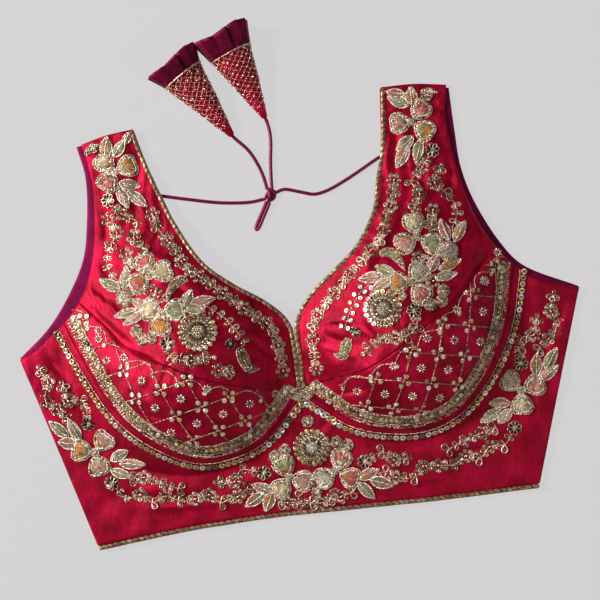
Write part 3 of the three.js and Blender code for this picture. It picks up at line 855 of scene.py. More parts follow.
class Finish:
    """A material: its tree, its main shader and short ways to add to them."""

    def __init__(self, name, **constants):
        self.material = bpy.data.materials.new(name)
        self.material.use_nodes = True
        self.nodes = self.material.node_tree.nodes
        self.shader = self.nodes["Principled BSDF"]
        for socket, value in constants.items():
            self.shader.inputs[socket.replace("_", " ")].default_value = value

    def node(self, kind, settings, inputs, output=0):
        """Adds a node; inputs is a list in socket order, or a dict by socket name or number."""
        made = self.nodes.new(kind)
        stops = settings.pop("stops", None) if settings else None
        for key, value in settings.items():
            setattr(made, key, value)
        if stops:
            ramp = made.color_ramp
            while len(ramp.elements) < len(stops):
                ramp.elements.new(0.5)
            for element, (place, colour) in zip(ramp.elements, stops):
                element.position = place
                element.color = (*colour, 1)
        pairs = inputs.items() if isinstance(inputs, dict) else enumerate(inputs)
        for key, value in pairs:
            self.feed(made.inputs[key], value)
        return Field(self, made.outputs[output])

    def feed(self, socket, value):
        if isinstance(value, Field):
            self.material.node_tree.links.new(value.socket, socket)
        else:
            socket.default_value = value

    def attribute(self, name, output="Fac"):
        return self.node("ShaderNodeAttribute", {"attribute_name": name}, [], output)

    def uv(self, scale):
        """The cut's own UV map in metres, scaled."""
        flat = self.node("ShaderNodeUVMap", {"uv_map": "cut"}, [])
        return self.node("ShaderNodeMapping", {}, {"Vector": flat, "Scale": scale})

    def noise(self, vector, scale, detail=2.0, roughness=0.5):
        return self.node("ShaderNodeTexNoise", {}, {
            "Vector": vector, "Scale": scale, "Detail": detail, "Roughness": roughness})

    def ramp(self, factor, stops):
        return self.node("ShaderNodeValToRGB", {"stops": stops}, [factor])

    def mix(self, factor, first, second, blend="MIX"):
        return self.node("ShaderNodeMix", {"data_type": "RGBA", "blend_type": blend},
                         {0: factor, 6: first, 7: second}, output=2)

    def shade(self, height=None, depth=0.0003, strength=0.6, **links):
        for socket, value in links.items():
            self.feed(self.shader.inputs[socket.replace("_", " ")], value)
        if height is not None:
            bump = self.node("ShaderNodeBump", {}, {
                "Height": height, "Distance": depth, "Strength": strength})
            self.feed(self.shader.inputs["Normal"], bump)
        return self.material


# %% Silk, lining and cord
def rgb(*colour):
    return (*colour, 1)


def silk_finish(name, deep, middle, bright, crushed=60, rough=0.25):
    """Raw silk: slow mottling, upright slubs, a fine weave, patches crushed by wear, and a painted sheen
    where the cloth turns away from view.
    """
    silk = Finish(name, Metallic=0.5, Specular_IOR_Level=0.16)
    mottle = silk.noise(silk.uv((1, 1, 1)), 38, 4, 0.62)
    slub = silk.noise(silk.uv((1500, 70, 1)), 1, 3, 0.6)
    weft = silk.noise(silk.uv((90, 1700, 1)), 1, 2, 0.5)
    warp_line = silk.node("ShaderNodeTexWave", {"bands_direction": "X"}, {
        "Vector": silk.uv((1, 1, 1)), "Scale": 520, "Distortion": 1.5, "Detail": 1})
    weft_line = silk.node("ShaderNodeTexWave", {"bands_direction": "Y"}, {
        "Vector": silk.uv((1, 1, 1)), "Scale": 560, "Distortion": 1.5, "Detail": 1})
    tone = (mottle - 0.5) * 1.25 + (slub - 0.5) * 0.7 + (weft - 0.5) * 0.3 + 0.5
    colour = silk.ramp(tone.clamped(), [(0.12, deep), (0.5, middle), (0.9, bright)])
    # Painted sheen: where the cloth turns away from the view, its colour is pushed towards the bright
    # tone.
    edge = silk.node("ShaderNodeLayerWeight", {}, {"Blend": 0.35}, output="Facing")
    colour = silk.mix(edge * 0.2, colour, rgb(*bright))
    weave = warp_line * 0.35 + weft_line * 0.3 + slub * 0.9 + weft * 0.35
    worn = silk.noise(silk.uv((1, 0.8, 1)), 70, 3, 0.55)
    where = silk.noise(silk.uv((1, 1, 1)), 14, 1, 0.5)
    height = weave + worn * (where * crushed - 26).math("MAXIMUM", 2.0)
    return silk.shade(height=height, depth=0.00022, strength=0.7, Base_Color=colour,
                      Roughness=(rough + mottle * 0.22))


red_silk = silk_finish("wine red raw silk", (0.13, 0.0005, 0.007), (0.36, 0.0012, 0.022),
                       (0.70, 0.003, 0.060))
smooth_silk = silk_finish("smooth red raw silk", (0.15, 0.0006, 0.008), (0.34, 0.0011, 0.021),
                          (0.60, 0.0025, 0.055), crushed=20, rough=0.34)
lining_cloth = silk_finish("magenta lining", (0.09, 0.0006, 0.024), (0.19, 0.001, 0.050),
                           (0.32, 0.003, 0.09), crushed=20, rough=0.36)
ruffle_satin = silk_finish("wine satin", (0.07, 0.001, 0.012), (0.14, 0.002, 0.025),
                           (0.26, 0.006, 0.055))


def cord_finish():
    """A satin tube: fine threads that run round it at a slant."""
    cord = Finish("wine satin cord", Roughness=0.42, Sheen_Weight=0.05, Sheen_Roughness=0.35,
                  Sheen_Tint=rgb(1, 0.1, 0.3), Metallic=0.3)
    place = cord.node("ShaderNodeTexCoord", {}, [], output="Object")
    mottle = cord.noise(place, 420, 3, 0.6)
    strand = cord.node("ShaderNodeTexWave", {"bands_direction": "DIAGONAL"}, {
        "Vector": place, "Scale": 900, "Distortion": 2.0, "Detail": 2})
    colour = cord.ramp(mottle, [(0.3, (0.11, 0.0008, 0.020)), (0.7, (0.26, 0.0015, 0.052))])
    return cord.shade(height=strand * 0.3 + mottle, depth=0.0001, strength=0.3, Base_Color=colour)


tie_satin = cord_finish()

# %% Metal thread, sequins and coloured thread
ZARI_TONES = [(0.0, (0.024, 0.010, 0.009)), (0.25, (0.17, 0.085, 0.055)),
              (0.5, (0.50, 0.33, 0.21)), (0.75, (0.88, 0.68, 0.50)), (1.0, (1.0, 0.93, 0.84))]
SEQUIN_TONES = [(0.0, (0.12, 0.08, 0.045)), (0.35, (0.42, 0.31, 0.17)),
                (0.65, (0.84, 0.63, 0.28)), (0.85, (0.95, 0.84, 0.62)), (1.0, (1.0, 0.97, 0.9))]


def metal_finish(name, tones, metallic, rough, grain):
    """Metal whose tone is sewn in with each piece, and varies a little from piece to piece."""
    metal = Finish(name, Metallic=metallic)
    tint, glint = metal.attribute("tint"), metal.attribute("glint")
    place = metal.node("ShaderNodeTexCoord", {}, [], output="Object")
    fine = metal.noise(place, grain, 2, 0.6)
    tone = tint + (glint - 0.5) * 0.34 + (fine - 0.5) * 0.3
    colour = metal.ramp(tone.clamped(), tones)
    return metal.shade(height=fine, depth=0.00012, strength=0.5, Base_Color=colour,
                       Roughness=(rough + glint * 0.2))


zari_metal = metal_finish("antique zari", ZARI_TONES, 0.88, 0.2, 2600)
sequin_metal = metal_finish("sequins", SEQUIN_TONES, 0.8, 0.2, 500)


def thread_finish():
    """Silk thread laid side by side: stripes across the pad's own map, with its own colours and painted
    shade in the grooves between strands.
    """
    thread = Finish("pastel silk thread", Sheen_Weight=0.1, Sheen_Roughness=0.4,
                    Metallic=0.25)
    strand = thread.node("ShaderNodeTexWave", {"bands_direction": "Y"}, {
        "Vector": thread.uv((1, 1, 1)), "Scale": 330, "Distortion": 1.2, "Detail": 2,
        "Detail Scale": 1.5})
    colour = thread.attribute("thread", "Color")
    # Painted shade: the thread's colour is darkened in the grooves between strands, where the bump is low.
    dark = thread.mix(1.0, colour, rgb(0.34, 0.27, 0.2), "MULTIPLY")
    colour = thread.mix(strand * 0.95, dark, colour)
    return thread.shade(height=strand, depth=0.0004, strength=0.8, Base_Color=colour,
                        Roughness=(0.62 - strand * 0.22))


pastel_thread = thread_finish()


def braid_finish():
    """Braid: gold blocks wrapped over a dark red core."""
    braid = Finish("gold braid")
    block = braid.attribute("block")
    place = braid.node("ShaderNodeTexCoord", {}, [], output="Object")
    fine = braid.noise(place, 620, 3, 0.7)
    slow = braid.noise(place, 150, 2, 0.5)
    gold = braid.ramp((fine * 0.75 + slow * 0.35).clamped(), [
        (0.40, (0.12, 0.018, 0.016)), (0.55, (0.36, 0.22, 0.10)), (0.74, (0.84, 0.64, 0.38))])
    worn = (block * 0.9 + (fine - 0.5) * 2.0).clamped()
    colour = braid.mix(worn, rgb(0.085, 0.006, 0.012), gold)
    return braid.shade(height=fine, depth=0.0003, strength=0.6, Base_Color=colour,
                       Metallic=(worn * 0.65), Roughness=(0.58 - worn * 0.2))


gold_braid = braid_finish()
print("finishes:", len(bpy.data.materials))

# %% [markdown]
# ## Braid on the edges
#
# The neck and the hem are bound with a narrow braid: gold thread wrapped in blocks over a dark
# core, with a dark gap about every five millimetres. It is modelled as a flattened tube whose
# rings are close enough to show the wraps, and an attribute says where the gold is, so the
# finish and the shape change together.

# %% Braid
HALF_WRAP = 0.55  # mm, half the pitch of one wrap of thread
BLOCK, GAP = 3.7, 1.6  # mm of gold, mm between
TUBE_SIDES = 10


def tube_mesh(name, line, wide, high):
    """A flattened, closed tube along a 3-D line in pattern millimetres."""
    run = unit(np.gradient(line, axis=0))
    side = unit(np.column_stack([-run[:, 1], run[:, 0], np.zeros(len(run))]))
    up = np.cross(run, side)
    walked = np.concatenate([[0], np.cumsum(np.linalg.norm(np.diff(line, axis=0), axis=1))])
    uneven = 1.3 * np.sin(walked / 23) + 0.8 * np.sin(walked / 7.1)
    turn = 2 * np.pi * np.arange(TUBE_SIDES) / TUBE_SIDES
    slanted = (walked + uneven)[:, None] + 1.1 * np.cos(turn)
    place = slanted % (BLOCK + GAP)
    gold = np.clip(np.minimum(place, BLOCK - place) / 0.5 + 0.5, 0, 1)
    wraps = 1 + 0.06 * np.cos(np.pi * slanted / HALF_WRAP) * gold
    end = np.minimum(walked, walked[-1] - walked)
    swell = (0.92 + 0.08 * gold) * wraps * np.sqrt(np.clip(end / 1.2, 0, 1))[:, None]
    rings = (line[:, None] + side[:, None] * (np.cos(turn) * wide / 2 * swell)[..., None]
             + up[:, None] * (np.sin(turn) * high / 2 * swell)[..., None])
    faces = []
    for i in range(len(line) - 1):
        for k in range(TUBE_SIDES):
            j = (k + 1) % TUBE_SIDES
            faces.append((i * TUBE_SIDES + k, i * TUBE_SIDES + j,
                          (i + 1) * TUBE_SIDES + j, (i + 1) * TUBE_SIDES + k))
    piece = placed(name, named_mesh(name, to_frame(rings.reshape(-1, 3)), faces))
    first = TUBE_SIDES - 1
    values = gold.ravel()[first:first + len(piece.data.vertices)]
    piece.data.attributes.new("block", "FLOAT", "POINT").data.foreach_set("value", values)
    return piece


def over_silk(line, lift):
    """Points over the front's surface, in pattern millimetres."""
    x, y = line[:, 0], line[:, 1]
    return np.column_stack([line, silk_top(x, y)]) + silk_normal(x, y) * lift


def at_height(line, height):
    return np.column_stack([line, np.full(len(line), float(height))])


braids = {}
for side, way in SIDES.items():
    edge = smooth_line([*half(NECK_EDGE, side), (way * 0.6, 107)], 600)
    edge = offset_line(edge, way * 2.05)
    edge[:, 0] -= way * 0.8 * np.clip((176 - edge[:, 1]) / 12, 0, 1)
    line = over_silk(edge, -0.45)
    wide = 4.2 + np.clip((117 - edge[:, 1:]) / 4, 0, 1.1)
    fold = np.clip(1 - np.arange(len(line)) / 9, 0, 1)
    line[:, 2] -= 2.4 * fold**2
    braids[f"neck_piping_{side}"] = tube_mesh(f"braid_neck_{side}", line, wide, 2.7)
hem = joined(pattern_line(HEM_EDGE, "left", 350), pattern_line(HEM_EDGE, "right", 350))
front_hem = hem + (0, PIPING_WIDTH / 2)
line = over_silk(front_hem, -0.55)
braids["hem_piping_front"] = tube_mesh("braid_hem_front", line, 4.0, 2.7)
braids["hem_piping_back"] = tube_mesh(
    "braid_hem_back", at_height(front_hem, BACK_CLOTH / 2), 3.9, 1.5)
for node, piece in braids.items():
    piece.data.materials.append(gold_braid)
    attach(piece, "root")
    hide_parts(node)
    print(piece.name, len(piece.data.polygons), "faces")

# %% [markdown]
# ## Knot, loop and tassels
#
# The two halves of the tie are knotted once and the short end is pulled through as a bow, so the
# knot is a tight lump of the same cord. Each free end is sewn into a stuffed cone of silk with a
# box-pleated frill round its wide end. A cone of cloth opens out flat, so its gold netting is
# laid as a square grid on the flat cut, and then rolled up with it, as the maker does.

# %% Knot
def made_plain_curve(piece):
    """A curve object's tube as a mesh object of the same name."""
    shown = piece.evaluated_get(bpy.context.evaluated_depsgraph_get())
    data = bpy.data.meshes.new_from_object(shown)
    name = piece.name
    bpy.data.objects.remove(piece)
    data.shade_smooth()
    return placed(name, data)


def joined_mesh(name, pieces):
    """Several mesh objects as one."""
    shape = bmesh.new()
    for piece in pieces:
        shape.from_mesh(piece.data)
        bpy.data.objects.remove(piece)
    data = bpy.data.meshes.new(name)
    shape.to_mesh(data)
    shape.free()
    data.shade_smooth()
    return placed(name, data)


knot_x, knot_y = KNOT["x"], KNOT["y"]
# x, y and z of each strand's marks from the knot's middle on the table.
KNOT_STRANDS = {
    "through": ([(-0.6, 5.6, 1.9), (-0.3, 2.4, 4.3), (-0.9, -1.2, 4.5), (-2.4, -5.6, 2.1)], 3.1),
    "under": ([(1.4, 5.4, 1.7), (1.7, 2.0, 2.0), (0.6, -2.2, 2.1), (-0.6, -5.4, 1.9)], 3.1),
    "wrap": ([(-6.0, -2.6, 1.7), (-4.0, -1.5, 2.6), (-2.6, 1.0, 3.9), (0.2, 3.2, 4.2),
              (3.0, 2.3, 3.3), (3.8, -0.6, 2.4), (2.0, -3.4, 2.3), (-0.6, -3.9, 2.5)], 3.0),
    "right": ([(6.0, 1.9, 1.7), (4.2, 2.0, 2.6), (2.9, 3.3, 2.8), (0.9, 4.1, 2.4)], 3.0),
}
strands = []
for name, (marks, thickness) in KNOT_STRANDS.items():
    route = [(knot_x + x, knot_y + y, z) for x, y, z in marks]
    piece, _ = cord_curve(f"knot_{name}", route, 30, thickness)
    strands.append(made_plain_curve(piece))
knot = joined_mesh("dori_knot_tied", strands)
knot.data.materials.append(tie_satin)
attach(knot, "root")
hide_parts("dori_knot")

# %% Cones
CONE_RISE = 0.3


def tassel_ring(key, distance, wide, high, angles, swell=1.0, inset=0.0):
    """Points round a tassel at a distance from its tip, in pattern millimetres."""
    run = heading(key)
    across = np.array([-run[1], run[0], 0])
    start = np.array([*LATKANS[key]["tip"], 0])
    points = start + run * np.reshape(distance, (-1, 1))
    points = points + across * ((wide / 2 - inset) * swell * np.cos(angles))[:, None]
    height = (high / 2) * (1 + 0.94 * np.sin(angles) * swell)
    points[:, 2] = np.maximum(height - inset * np.sin(angles), 0) + CONE_RISE + inset * 0.3
    return points


def cone_width(share):
    return CONE_TIP + (CONE_BASE["wide"] - CONE_TIP) * share


def cone_height(share):
    return CONE_TIP + (CONE_BASE["high"] - CONE_TIP) * share**0.9


def cone_points(key, share, angles, lift=0.0):
    """Points on a cone for arrays of shares along it and angles round it."""
    soft = 1 + 0.012 * np.sin(3 * angles + 9 * share) + 0.01 * np.sin(5 * angles - 14 * share)
    return tassel_ring(key, share * LATKANS[key]["cone"], cone_width(share) * soft + 2 * lift,
                       cone_height(share) * soft + 2 * lift, angles)


def closed_rings(name, rings, end_caps, loop=False):
    """A mesh over rings of points; end_caps close the ends and loop joins last to first."""
    count, points = len(rings[0]), np.vstack(rings)
    faces = []
    rows = len(rings)
    for r in range(rows if loop else rows - 1):
        below, above = r * count, (r + 1) % rows * count
        for i in range(count):
            j = (i + 1) % count
            faces.append((below + i, below + j, above + j, above + i))
    if end_caps:
        faces += [tuple(range(count)), tuple((rows - 1) * count + i for i in range(count))]
    return placed(name, named_mesh(name, to_frame(points), faces))


def add_cut_map(data):
    """A UV map in metres from the points' own x and y, for small pieces."""
    layer = data.uv_layers.new(name="cut")
    corner_points = np.zeros(len(data.loops), int)
    data.loops.foreach_get("vertex_index", corner_points)
    places = np.zeros(len(data.vertices) * 3)
    data.vertices.foreach_get("co", places)
    layer.data.foreach_set("uv", places.reshape(-1, 3)[corner_points, :2].ravel())


round_angles = np.arange(40) * 2 * np.pi / 40
tassels = {}
for key in LATKANS:
    shares = np.linspace(0, 1, 26)
    rings = [cone_points(key, np.full(40, share), round_angles) for share in shares]
    cone = closed_rings(f"latkan_silk_{key}", rings, end_caps=True)
    add_cut_map(cone.data)
    cone.data.materials.append(red_silk)
    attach(cone, "root")
    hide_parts(f"latkan_cone_{key}")
    tassels[key] = cone

# %% Netting on the cones
NET = 3.4  # mm between threads
NET_BEAD = 1.5
SECTOR = 1.42  # radians of the flat cut


def rolled(key, u, v):
    """Points of the flat cut (u, v) in millimetres from its tip, rolled on the cone."""
    reach, turn = np.hypot(u, v), np.arctan2(v, u)
    share = np.clip(reach / LATKANS[key]["cone"], 0.05, 1)
    return share, np.pi / 2 + turn * (2 * np.pi / SECTOR)


def net_on(key):
    length = LATKANS[key]["cone"]
    offsets = np.arange(-length, length, NET)
    steps = np.arange(-length, length, NET_BEAD)
    rows = []
    for flip in (0, 1):
        a, b = np.meshgrid(offsets, steps)
        a, b = a.ravel(), b.ravel()
        u0, v0 = (a, b) if flip else (b, a)
        slant = math.radians(45)
        u = u0 * math.cos(slant) - v0 * math.sin(slant)
        v = u0 * math.sin(slant) + v0 * math.cos(slant)
        ahead = slant + (math.pi / 2 if flip else 0)
        rows.append(np.column_stack([u, v, np.full(len(u), ahead)]))
    u, v, ahead = np.vstack(rows).T
    keep = (np.hypot(u, v) < length) & (np.hypot(u, v) > 5) & (np.abs(np.arctan2(v, u)) < SECTOR / 2)
    return u[keep], v[keep], ahead[keep]


def on_cone(key, u, v, ahead, lift):
    """Places and frames on the cone for points of the flat cut and their headings."""
    share, angle = rolled(key, u, v)
    place = cone_points(key, share, angle, lift)
    next_share, next_angle = rolled(key, u + 0.5 * np.cos(ahead), v + 0.5 * np.sin(ahead))
    run = unit(cone_points(key, next_share, next_angle, lift) - place)
    out = cone_points(key, share, angle, lift + 1) - place
    out = unit(out - run * (out * run).sum(1, keepdims=True))
    return to_frame(place), euler_angles(np.stack([run, np.cross(out, run), out], axis=-1))


def sizes_of(count, long, wide, high):
    return np.tile(np.array([long, wide, high]) * MM, (count, 1))


for key in LATKANS:
    u, v, ahead = net_on(key)
    spots = np.arange(-17, 18) * NET * 2
    a, b = np.meshgrid(spots, spots)
    a, b = a.ravel(), b.ravel()
    su, sv = (a - b) * math.sqrt(0.5), (a + b) * math.sqrt(0.5)
    near = (np.hypot(su, sv) < LATKANS[key]["cone"] - 3) & (np.hypot(su, sv) > 7)
    near &= np.abs(np.arctan2(sv, su)) < SECTOR / 2
    su, sv = su[near], sv[near]
    rim = np.linspace(-SECTOR / 2, SECTOR / 2, 100)[:-1]
    rim_at = LATKANS[key]["cone"] - 1.2
    ru, rv = rim_at * np.cos(rim), rim_at * np.sin(rim)
    parts = [
        (*on_cone(key, u, v, ahead, 0.25), sizes_of(len(u), 1.5, 0.8, 0.7), np.full(len(u), 0.62)),
        (*on_cone(key, su, sv, su * 0, 0.7), sizes_of(len(su), 1.9, 1.9, 1.5),
         np.full(len(su), 0.98)),
        (*on_cone(key, ru, rv, rim + 1.2, 0.6), sizes_of(len(ru), 2.6, 1.3, 1.3),
         np.full(len(ru), 0.62)),
    ]
    place, turns, sizes, tints = [np.concatenate(column) for column in zip(*parts)]
    net = sewn_piece(f"latkan_net_{key}", small_shapes["bead"], place, turns, sizes, tints,
                     zari_metal, 0.12, 3)
    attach(net, "root")
    print(net.name, len(net.data.polygons), "faces")

# %% Box-pleated frills
PLEATS = 11
FRILL_CLOTH = 1.0
FRILL_FLARE = (0.99, 1.17)  # width against the cone's base, at the seam and at the free edge


def frill_ring(key, distance, flare, deep, inset):
    """A ring of box pleats: flat fronts with quick steps between them."""
    count = PLEATS * 16
    angles = np.arange(count) * 2 * np.pi / count
    place = (angles * PLEATS / (2 * np.pi) + 0.2 * np.sin(angles * 2 + 1)) % 1
    front = np.clip((place - 0.06) / 0.08, 0, 1) * np.clip((0.97 - place) / 0.03, 0, 1)
    swell = 1 + 1.25 * deep * (front - 0.6) + 0.9 * deep * (place - 0.5) * front
    reach = distance + 0.07 * distance * np.sin(angles * 3.2 + 0.6)
    return tassel_ring(key, LATKANS[key]["cone"] + 0.3 + reach, CONE_BASE["wide"] * flare,
                       CONE_BASE["high"] * flare, angles, swell, inset)


for key in LATKANS:
    long = LATKANS[key]["ruffle"]
    shares = np.linspace(0, 1, 7)
    outer, inner = [
        [frill_ring(key, long * s, FRILL_FLARE[0] + (FRILL_FLARE[1] - FRILL_FLARE[0]) * s,
                    0.07 + 0.17 * s, inset) for s in shares]
        for inset in (0, FRILL_CLOTH)]
    frill = closed_rings(f"latkan_frill_{key}", outer + inner[::-1], end_caps=False, loop=True)
    add_cut_map(frill.data)
    frill.data.materials.append(ruffle_satin)
    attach(frill, "root")
    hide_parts(f"latkan_ruffle_{key}")

# %% The cords, finished
for name, (cord, line) in ties.items():
    cord.data.materials.append(tie_satin)
    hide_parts(name)
cord_facts(*ties["dori_left"], "knot", [knot])
cord_facts(*ties["dori_right"], "knot", [knot])
for key in LATKANS:
    net = bpy.data.objects[f"latkan_net_{key}"]
    cord_facts(*ties[f"dori_tail_{key}"], "fitting", [tassels[key], net])
cord_facts(*ties["dori_loop"], "object")

# %% [markdown]
# ## Petals and leaves
#
# The large flowers are padded: a small cushion is covered with coloured silk thread laid side by
# side, and its edge is hidden with coiled metal thread. Each pad is rings of its own outline that
# shrink and rise to the middle, so one function makes leaves and petals. The pad's map runs
# across the threads: in a leaf they slant away from the midrib, in a petal they fan out.

# %% Outlines and pads
THREADS = {
    "pink": (0.92, 0.48, 0.38), "rose": (0.82, 0.18, 0.15), "orange": (0.96, 0.40, 0.08),
    "green": (0.56, 0.64, 0.30), "olive": (0.42, 0.42, 0.20), "cream": (0.98, 0.82, 0.52),
    "gold": (0.30, 0.21, 0.11), "white": (0.97, 0.90, 0.78),
}
OUTLINE_STEPS = 24


def turned(points, x, y, angle):
    """Points of a motif's own plane, turned by degrees and moved to (x, y)."""
    c, s = math.cos(math.radians(angle)), math.sin(math.radians(angle))
    return np.asarray(points) @ np.array([[c, s], [-s, c]]) + (x, y)


def leaf_outline(long, wide, steps=OUTLINE_STEPS):
    """An almond from its foot at (0, 0) to its tip at (long, 0)."""
    t = np.arange(steps) * 2 * np.pi / steps
    u = 0.5 - 0.5 * np.cos(t)
    y = np.sign(np.sin(t)) * np.sin(np.pi * u**0.86) ** 0.85
    return np.column_stack([u * long, y * wide / 2])


def petal_outline(long, wide, steps=OUTLINE_STEPS):
    """A fan from its foot to a round end with a small notch."""
    t = np.arange(steps) * 2 * np.pi / steps
    notch = 0.09 * np.exp(-(((t - np.pi) / 0.4) ** 2))
    y = np.sin(t) * np.sin(t / 2) ** 0.55
    y /= np.abs(y).max()
    return np.column_stack([(0.5 - 0.5 * np.cos(t) - notch) * long, y * wide / 2])


def disc_outline(radius, steps=OUTLINE_STEPS):
    t = np.arange(steps) * 2 * np.pi / steps
    return np.column_stack([np.cos(t), np.sin(t)]) * radius


pads = {"points": [], "faces": [], "map": [], "colours": []}


def add_pad(outline, x, y, angle, high, first, second, weave):
    """A low cushion; weave gives the map's second coordinate from its own plane's points."""
    outline = np.array(outline)
    middle = outline.mean(axis=0)
    base = sum(len(p) for p in pads["points"])
    count = len(outline)
    lifts, flats = [], []
    for share, lift in ((1, -0.4), (1, 0.1), (0.86, 0.62), (0.6, 0.9), (0.3, 1)):
        flats.append(middle + (outline - middle) * share)
        lifts.append(np.full(count, lift if lift < 0.2 else lift * high))
    flats.append(middle[None])
    lifts.append(np.array([high]))
    flat, lift = np.vstack(flats), np.concatenate(lifts)
    place = turned(flat, x, y, angle)
    pads["points"].append(on_silk(place[:, 0], place[:, 1], lift))
    for ring in range(4):
        for i in range(count):
            j = (i + 1) % count
            a, b = base + ring * count, base + (ring + 1) * count
            pads["faces"].append((a + i, a + j, b + j, b + i))
    pads["faces"] += [(base + 4 * count + i, base + 4 * count + (i + 1) % count,
                       base + 5 * count) for i in range(count)]
    pads["faces"].append(tuple(base + i for i in reversed(range(count))))
    pads["map"].append(np.column_stack([flat[:, 0], weave(flat)]) * MM)
    size = np.ptp(outline[:, 0])
    blend = np.clip((flat[:, 0] / size - 0.42) / 0.3 + flat[:, 1] / size, 0, 1)[:, None]
    tone = np.array(THREADS[first]) * (1 - blend) + np.array(THREADS[second]) * blend
    tone = tone * hand.uniform(0.8, 1.15, (len(flat), 1))
    pads["colours"].append(np.column_stack([tone, np.ones(len(tone))]))


# %% Coiled thread along a line
def coil(line, tint=0.7, thick=0.95, lift=0.5, pitch=1.15, slant=24, closed=False):
    """Twisted metal thread: short grains that follow each other at a slant."""
    line = np.array(line, float)
    if closed:
        line = np.vstack([line, line[:1]])
    count = max(3, round(line_length(line) / pitch))
    line = spaced(line, count)
    run = np.gradient(line, axis=0)
    if closed:
        line, run = line[:-1], run[:-1]
    angle = np.degrees(np.arctan2(run[:, 1], run[:, 0])) + slant
    tone = tint + hand.normal(0, 0.06, len(line))
    sew("bead", line[:, 0], line[:, 1], angle, lift, pitch * 1.5, thick, thick, tone)


def flecks(count, share):
    """True for a random share of a count of places."""
    return hand.random(count) < share


# %% [markdown]
# ## The motifs
#
# Zardozi workers build every garland from a few small figures. Each is a short function here:
# what it is made of, from the middle outwards, in millimetres on the cloth.

# %% Leaf and petal
def leaf(x, y, angle, long=19, wide=8, first="green", second="cream"):
    """A padded leaf whose middle is at (x, y)."""
    long, wide = long * 1.08, wide * 1.12
    foot = turned([(-long / 2, 0)], x, y, angle)[0]
    outline = leaf_outline(long, wide)
    add_pad(outline, *foot, angle, 1.5, first, second, lambda p: p[:, 0] - 1.1 * np.abs(p[:, 1]))
    rim = turned(outline, *foot, angle)
    coil(rim, 0.94, 1.5, 0.5, closed=True)
    rib = turned([(long * 0.04, 0), (long * 0.5, 0.3), (long * 0.9, 0)], *foot, angle)
    coil(rib, 0.85, 1.1, 1.75)
    count = 9
    at = (np.arange(count) + 0.7) / (count + 1)
    for way in (-1, 1):
        out = wide * 0.25 * np.sin(np.pi * at**0.86) * way
        place = turned(np.column_stack([at * long + 0.8, out]), *foot, angle)
        sew("bead", place[:, 0], place[:, 1], angle + 40 * way, 1.5, wide * 0.42, 0.5, 0.45,
            hand.uniform(0.4, 0.9, count))


def petal(x, y, angle, long=17, wide=17, first="green", second="pink"):
    """A padded petal: thread inside, a coil, a ring of short tubes, and a coil round it."""
    foot = turned([(-long / 2, 0)], x, y, angle)[0]
    outline = petal_outline(long, wide)
    middle = np.array([long * 0.52, 0])
    inner = middle + (outline - middle) * 0.74
    add_pad(outline, *foot, angle, 1.0, "gold", "gold", lambda p: p[:, 1])
    add_pad(inner, *foot, angle, 2.3, first, second,
            lambda p: np.arctan2(p[:, 1], p[:, 0] + 4) * 11)
    coil(turned(inner, *foot, angle), 0.88, 1.35, 1.3, closed=True)
    coil(turned(outline, *foot, angle), 0.66, 1.3, 0.55, closed=True)
    count = round((long + wide) * 1.35 / 1.6)
    ring = spaced(np.vstack([outline, outline[:1]]), count)[:-1]
    ring = middle + (ring - middle) * 0.88
    out = np.degrees(np.arctan2(ring[:, 1], ring[:, 0] - middle[0])) + angle
    place = turned(ring, *foot, angle)
    tint = np.where(flecks(len(ring), 0.3), 1.0, hand.uniform(0.3, 0.8, len(ring)))
    sew("bead", place[:, 0], place[:, 1], out, 0.95, 2.5, 1.4, 1.4, tint)
    fan = np.repeat([0.34, 0.58, 0.78], 9)
    spread = np.tile(np.linspace(-34, 34, 9), 3) + hand.normal(0, 2, 27)
    reach = np.column_stack([np.cos(np.radians(spread)), np.sin(np.radians(spread))])
    place = turned(reach * (fan * long * 0.98)[:, None], *foot, angle)
    sew("bead", place[:, 0], place[:, 1], angle + spread, 2.45 - 1.5 * np.abs(fan - 0.56),
        long * 0.22, 0.48, 0.45, hand.uniform(0.35, 0.95, 27))


def heart_of_flower(x, y, size=3.2):
    """The middle of a large flower: a small mound of grains."""
    add_pad(disc_outline(size, 12), x, y, 0, 1.6, "olive", "olive", lambda p: p[:, 1])
    for radius, count in ((0.0, 1), (size * 0.5, 7), (size, 13)):
        turn = np.arange(count) * 360 / count
        grain = np.radians(turn)
        sew("bead", x + radius * np.cos(grain), y + radius * np.sin(grain), turn,
            2.1 - radius * 0.4, 1.9, 1.2, 1.2, hand.uniform(0.5, 0.9, count))


def large_flower(x, y, petals, size=19.5):
    """Petals round a middle. Each petal is (x, y, first thread, second thread)."""
    for px, py, first, second in petals:
        toward = math.degrees(math.atan2(py - y, px - x))
        petal(px, py, toward, size, size * 0.97, first, second)
    heart_of_flower(x, y)


# %% Small flowers, loops and sprigs
def ring_flower(x, y, turn=0, tint=0.6, size=1.5):
    """Six rings of coil with a bead in each, round a bright bead."""
    angles = turn + np.arange(6) * 60
    way = np.radians(angles)
    px, py = x + 3 * size * np.cos(way), y + 3 * size * np.sin(way)
    sew("ring", px, py, angles, 0.55, 3.1 * size, 3.1 * size, 3.2, tint)
    sew("bead", px, py, angles, 0.6, 1.7, 1.5, 1.3, np.where(flecks(6, 0.45), 1.0, tint - 0.15))
    sew("bead", x, y, turn, 1.0, 2.1, 2.1, 1.8, 1.0)


def single_loop(x, y, angle, long=6.6, tint=0.64):
    """A drop-shaped loop of coil with a bead in it; (x, y) is its foot."""
    sew("loop", x, y, angle, 0.5, long, long * 1.4, 4.6, tint)
    place = turned([(long * 0.62, 0)], x, y, angle)[0]
    sew("bead", *place, angle, 0.55, 1.9, 1.6, 1.3, 0.9 if flecks(1, 0.4)[0] else 0.45)


def trefoil(x, y, angle, tint=0.62):
    """Three loops that fan out, with a smaller one behind."""
    foot = turned([(-1.5, 0)], x, y, angle)[0]
    for spread in (-62, 0, 62):
        single_loop(*foot, angle + spread, 6.0, tint)
    single_loop(*foot, angle + 180, 4.6, tint)


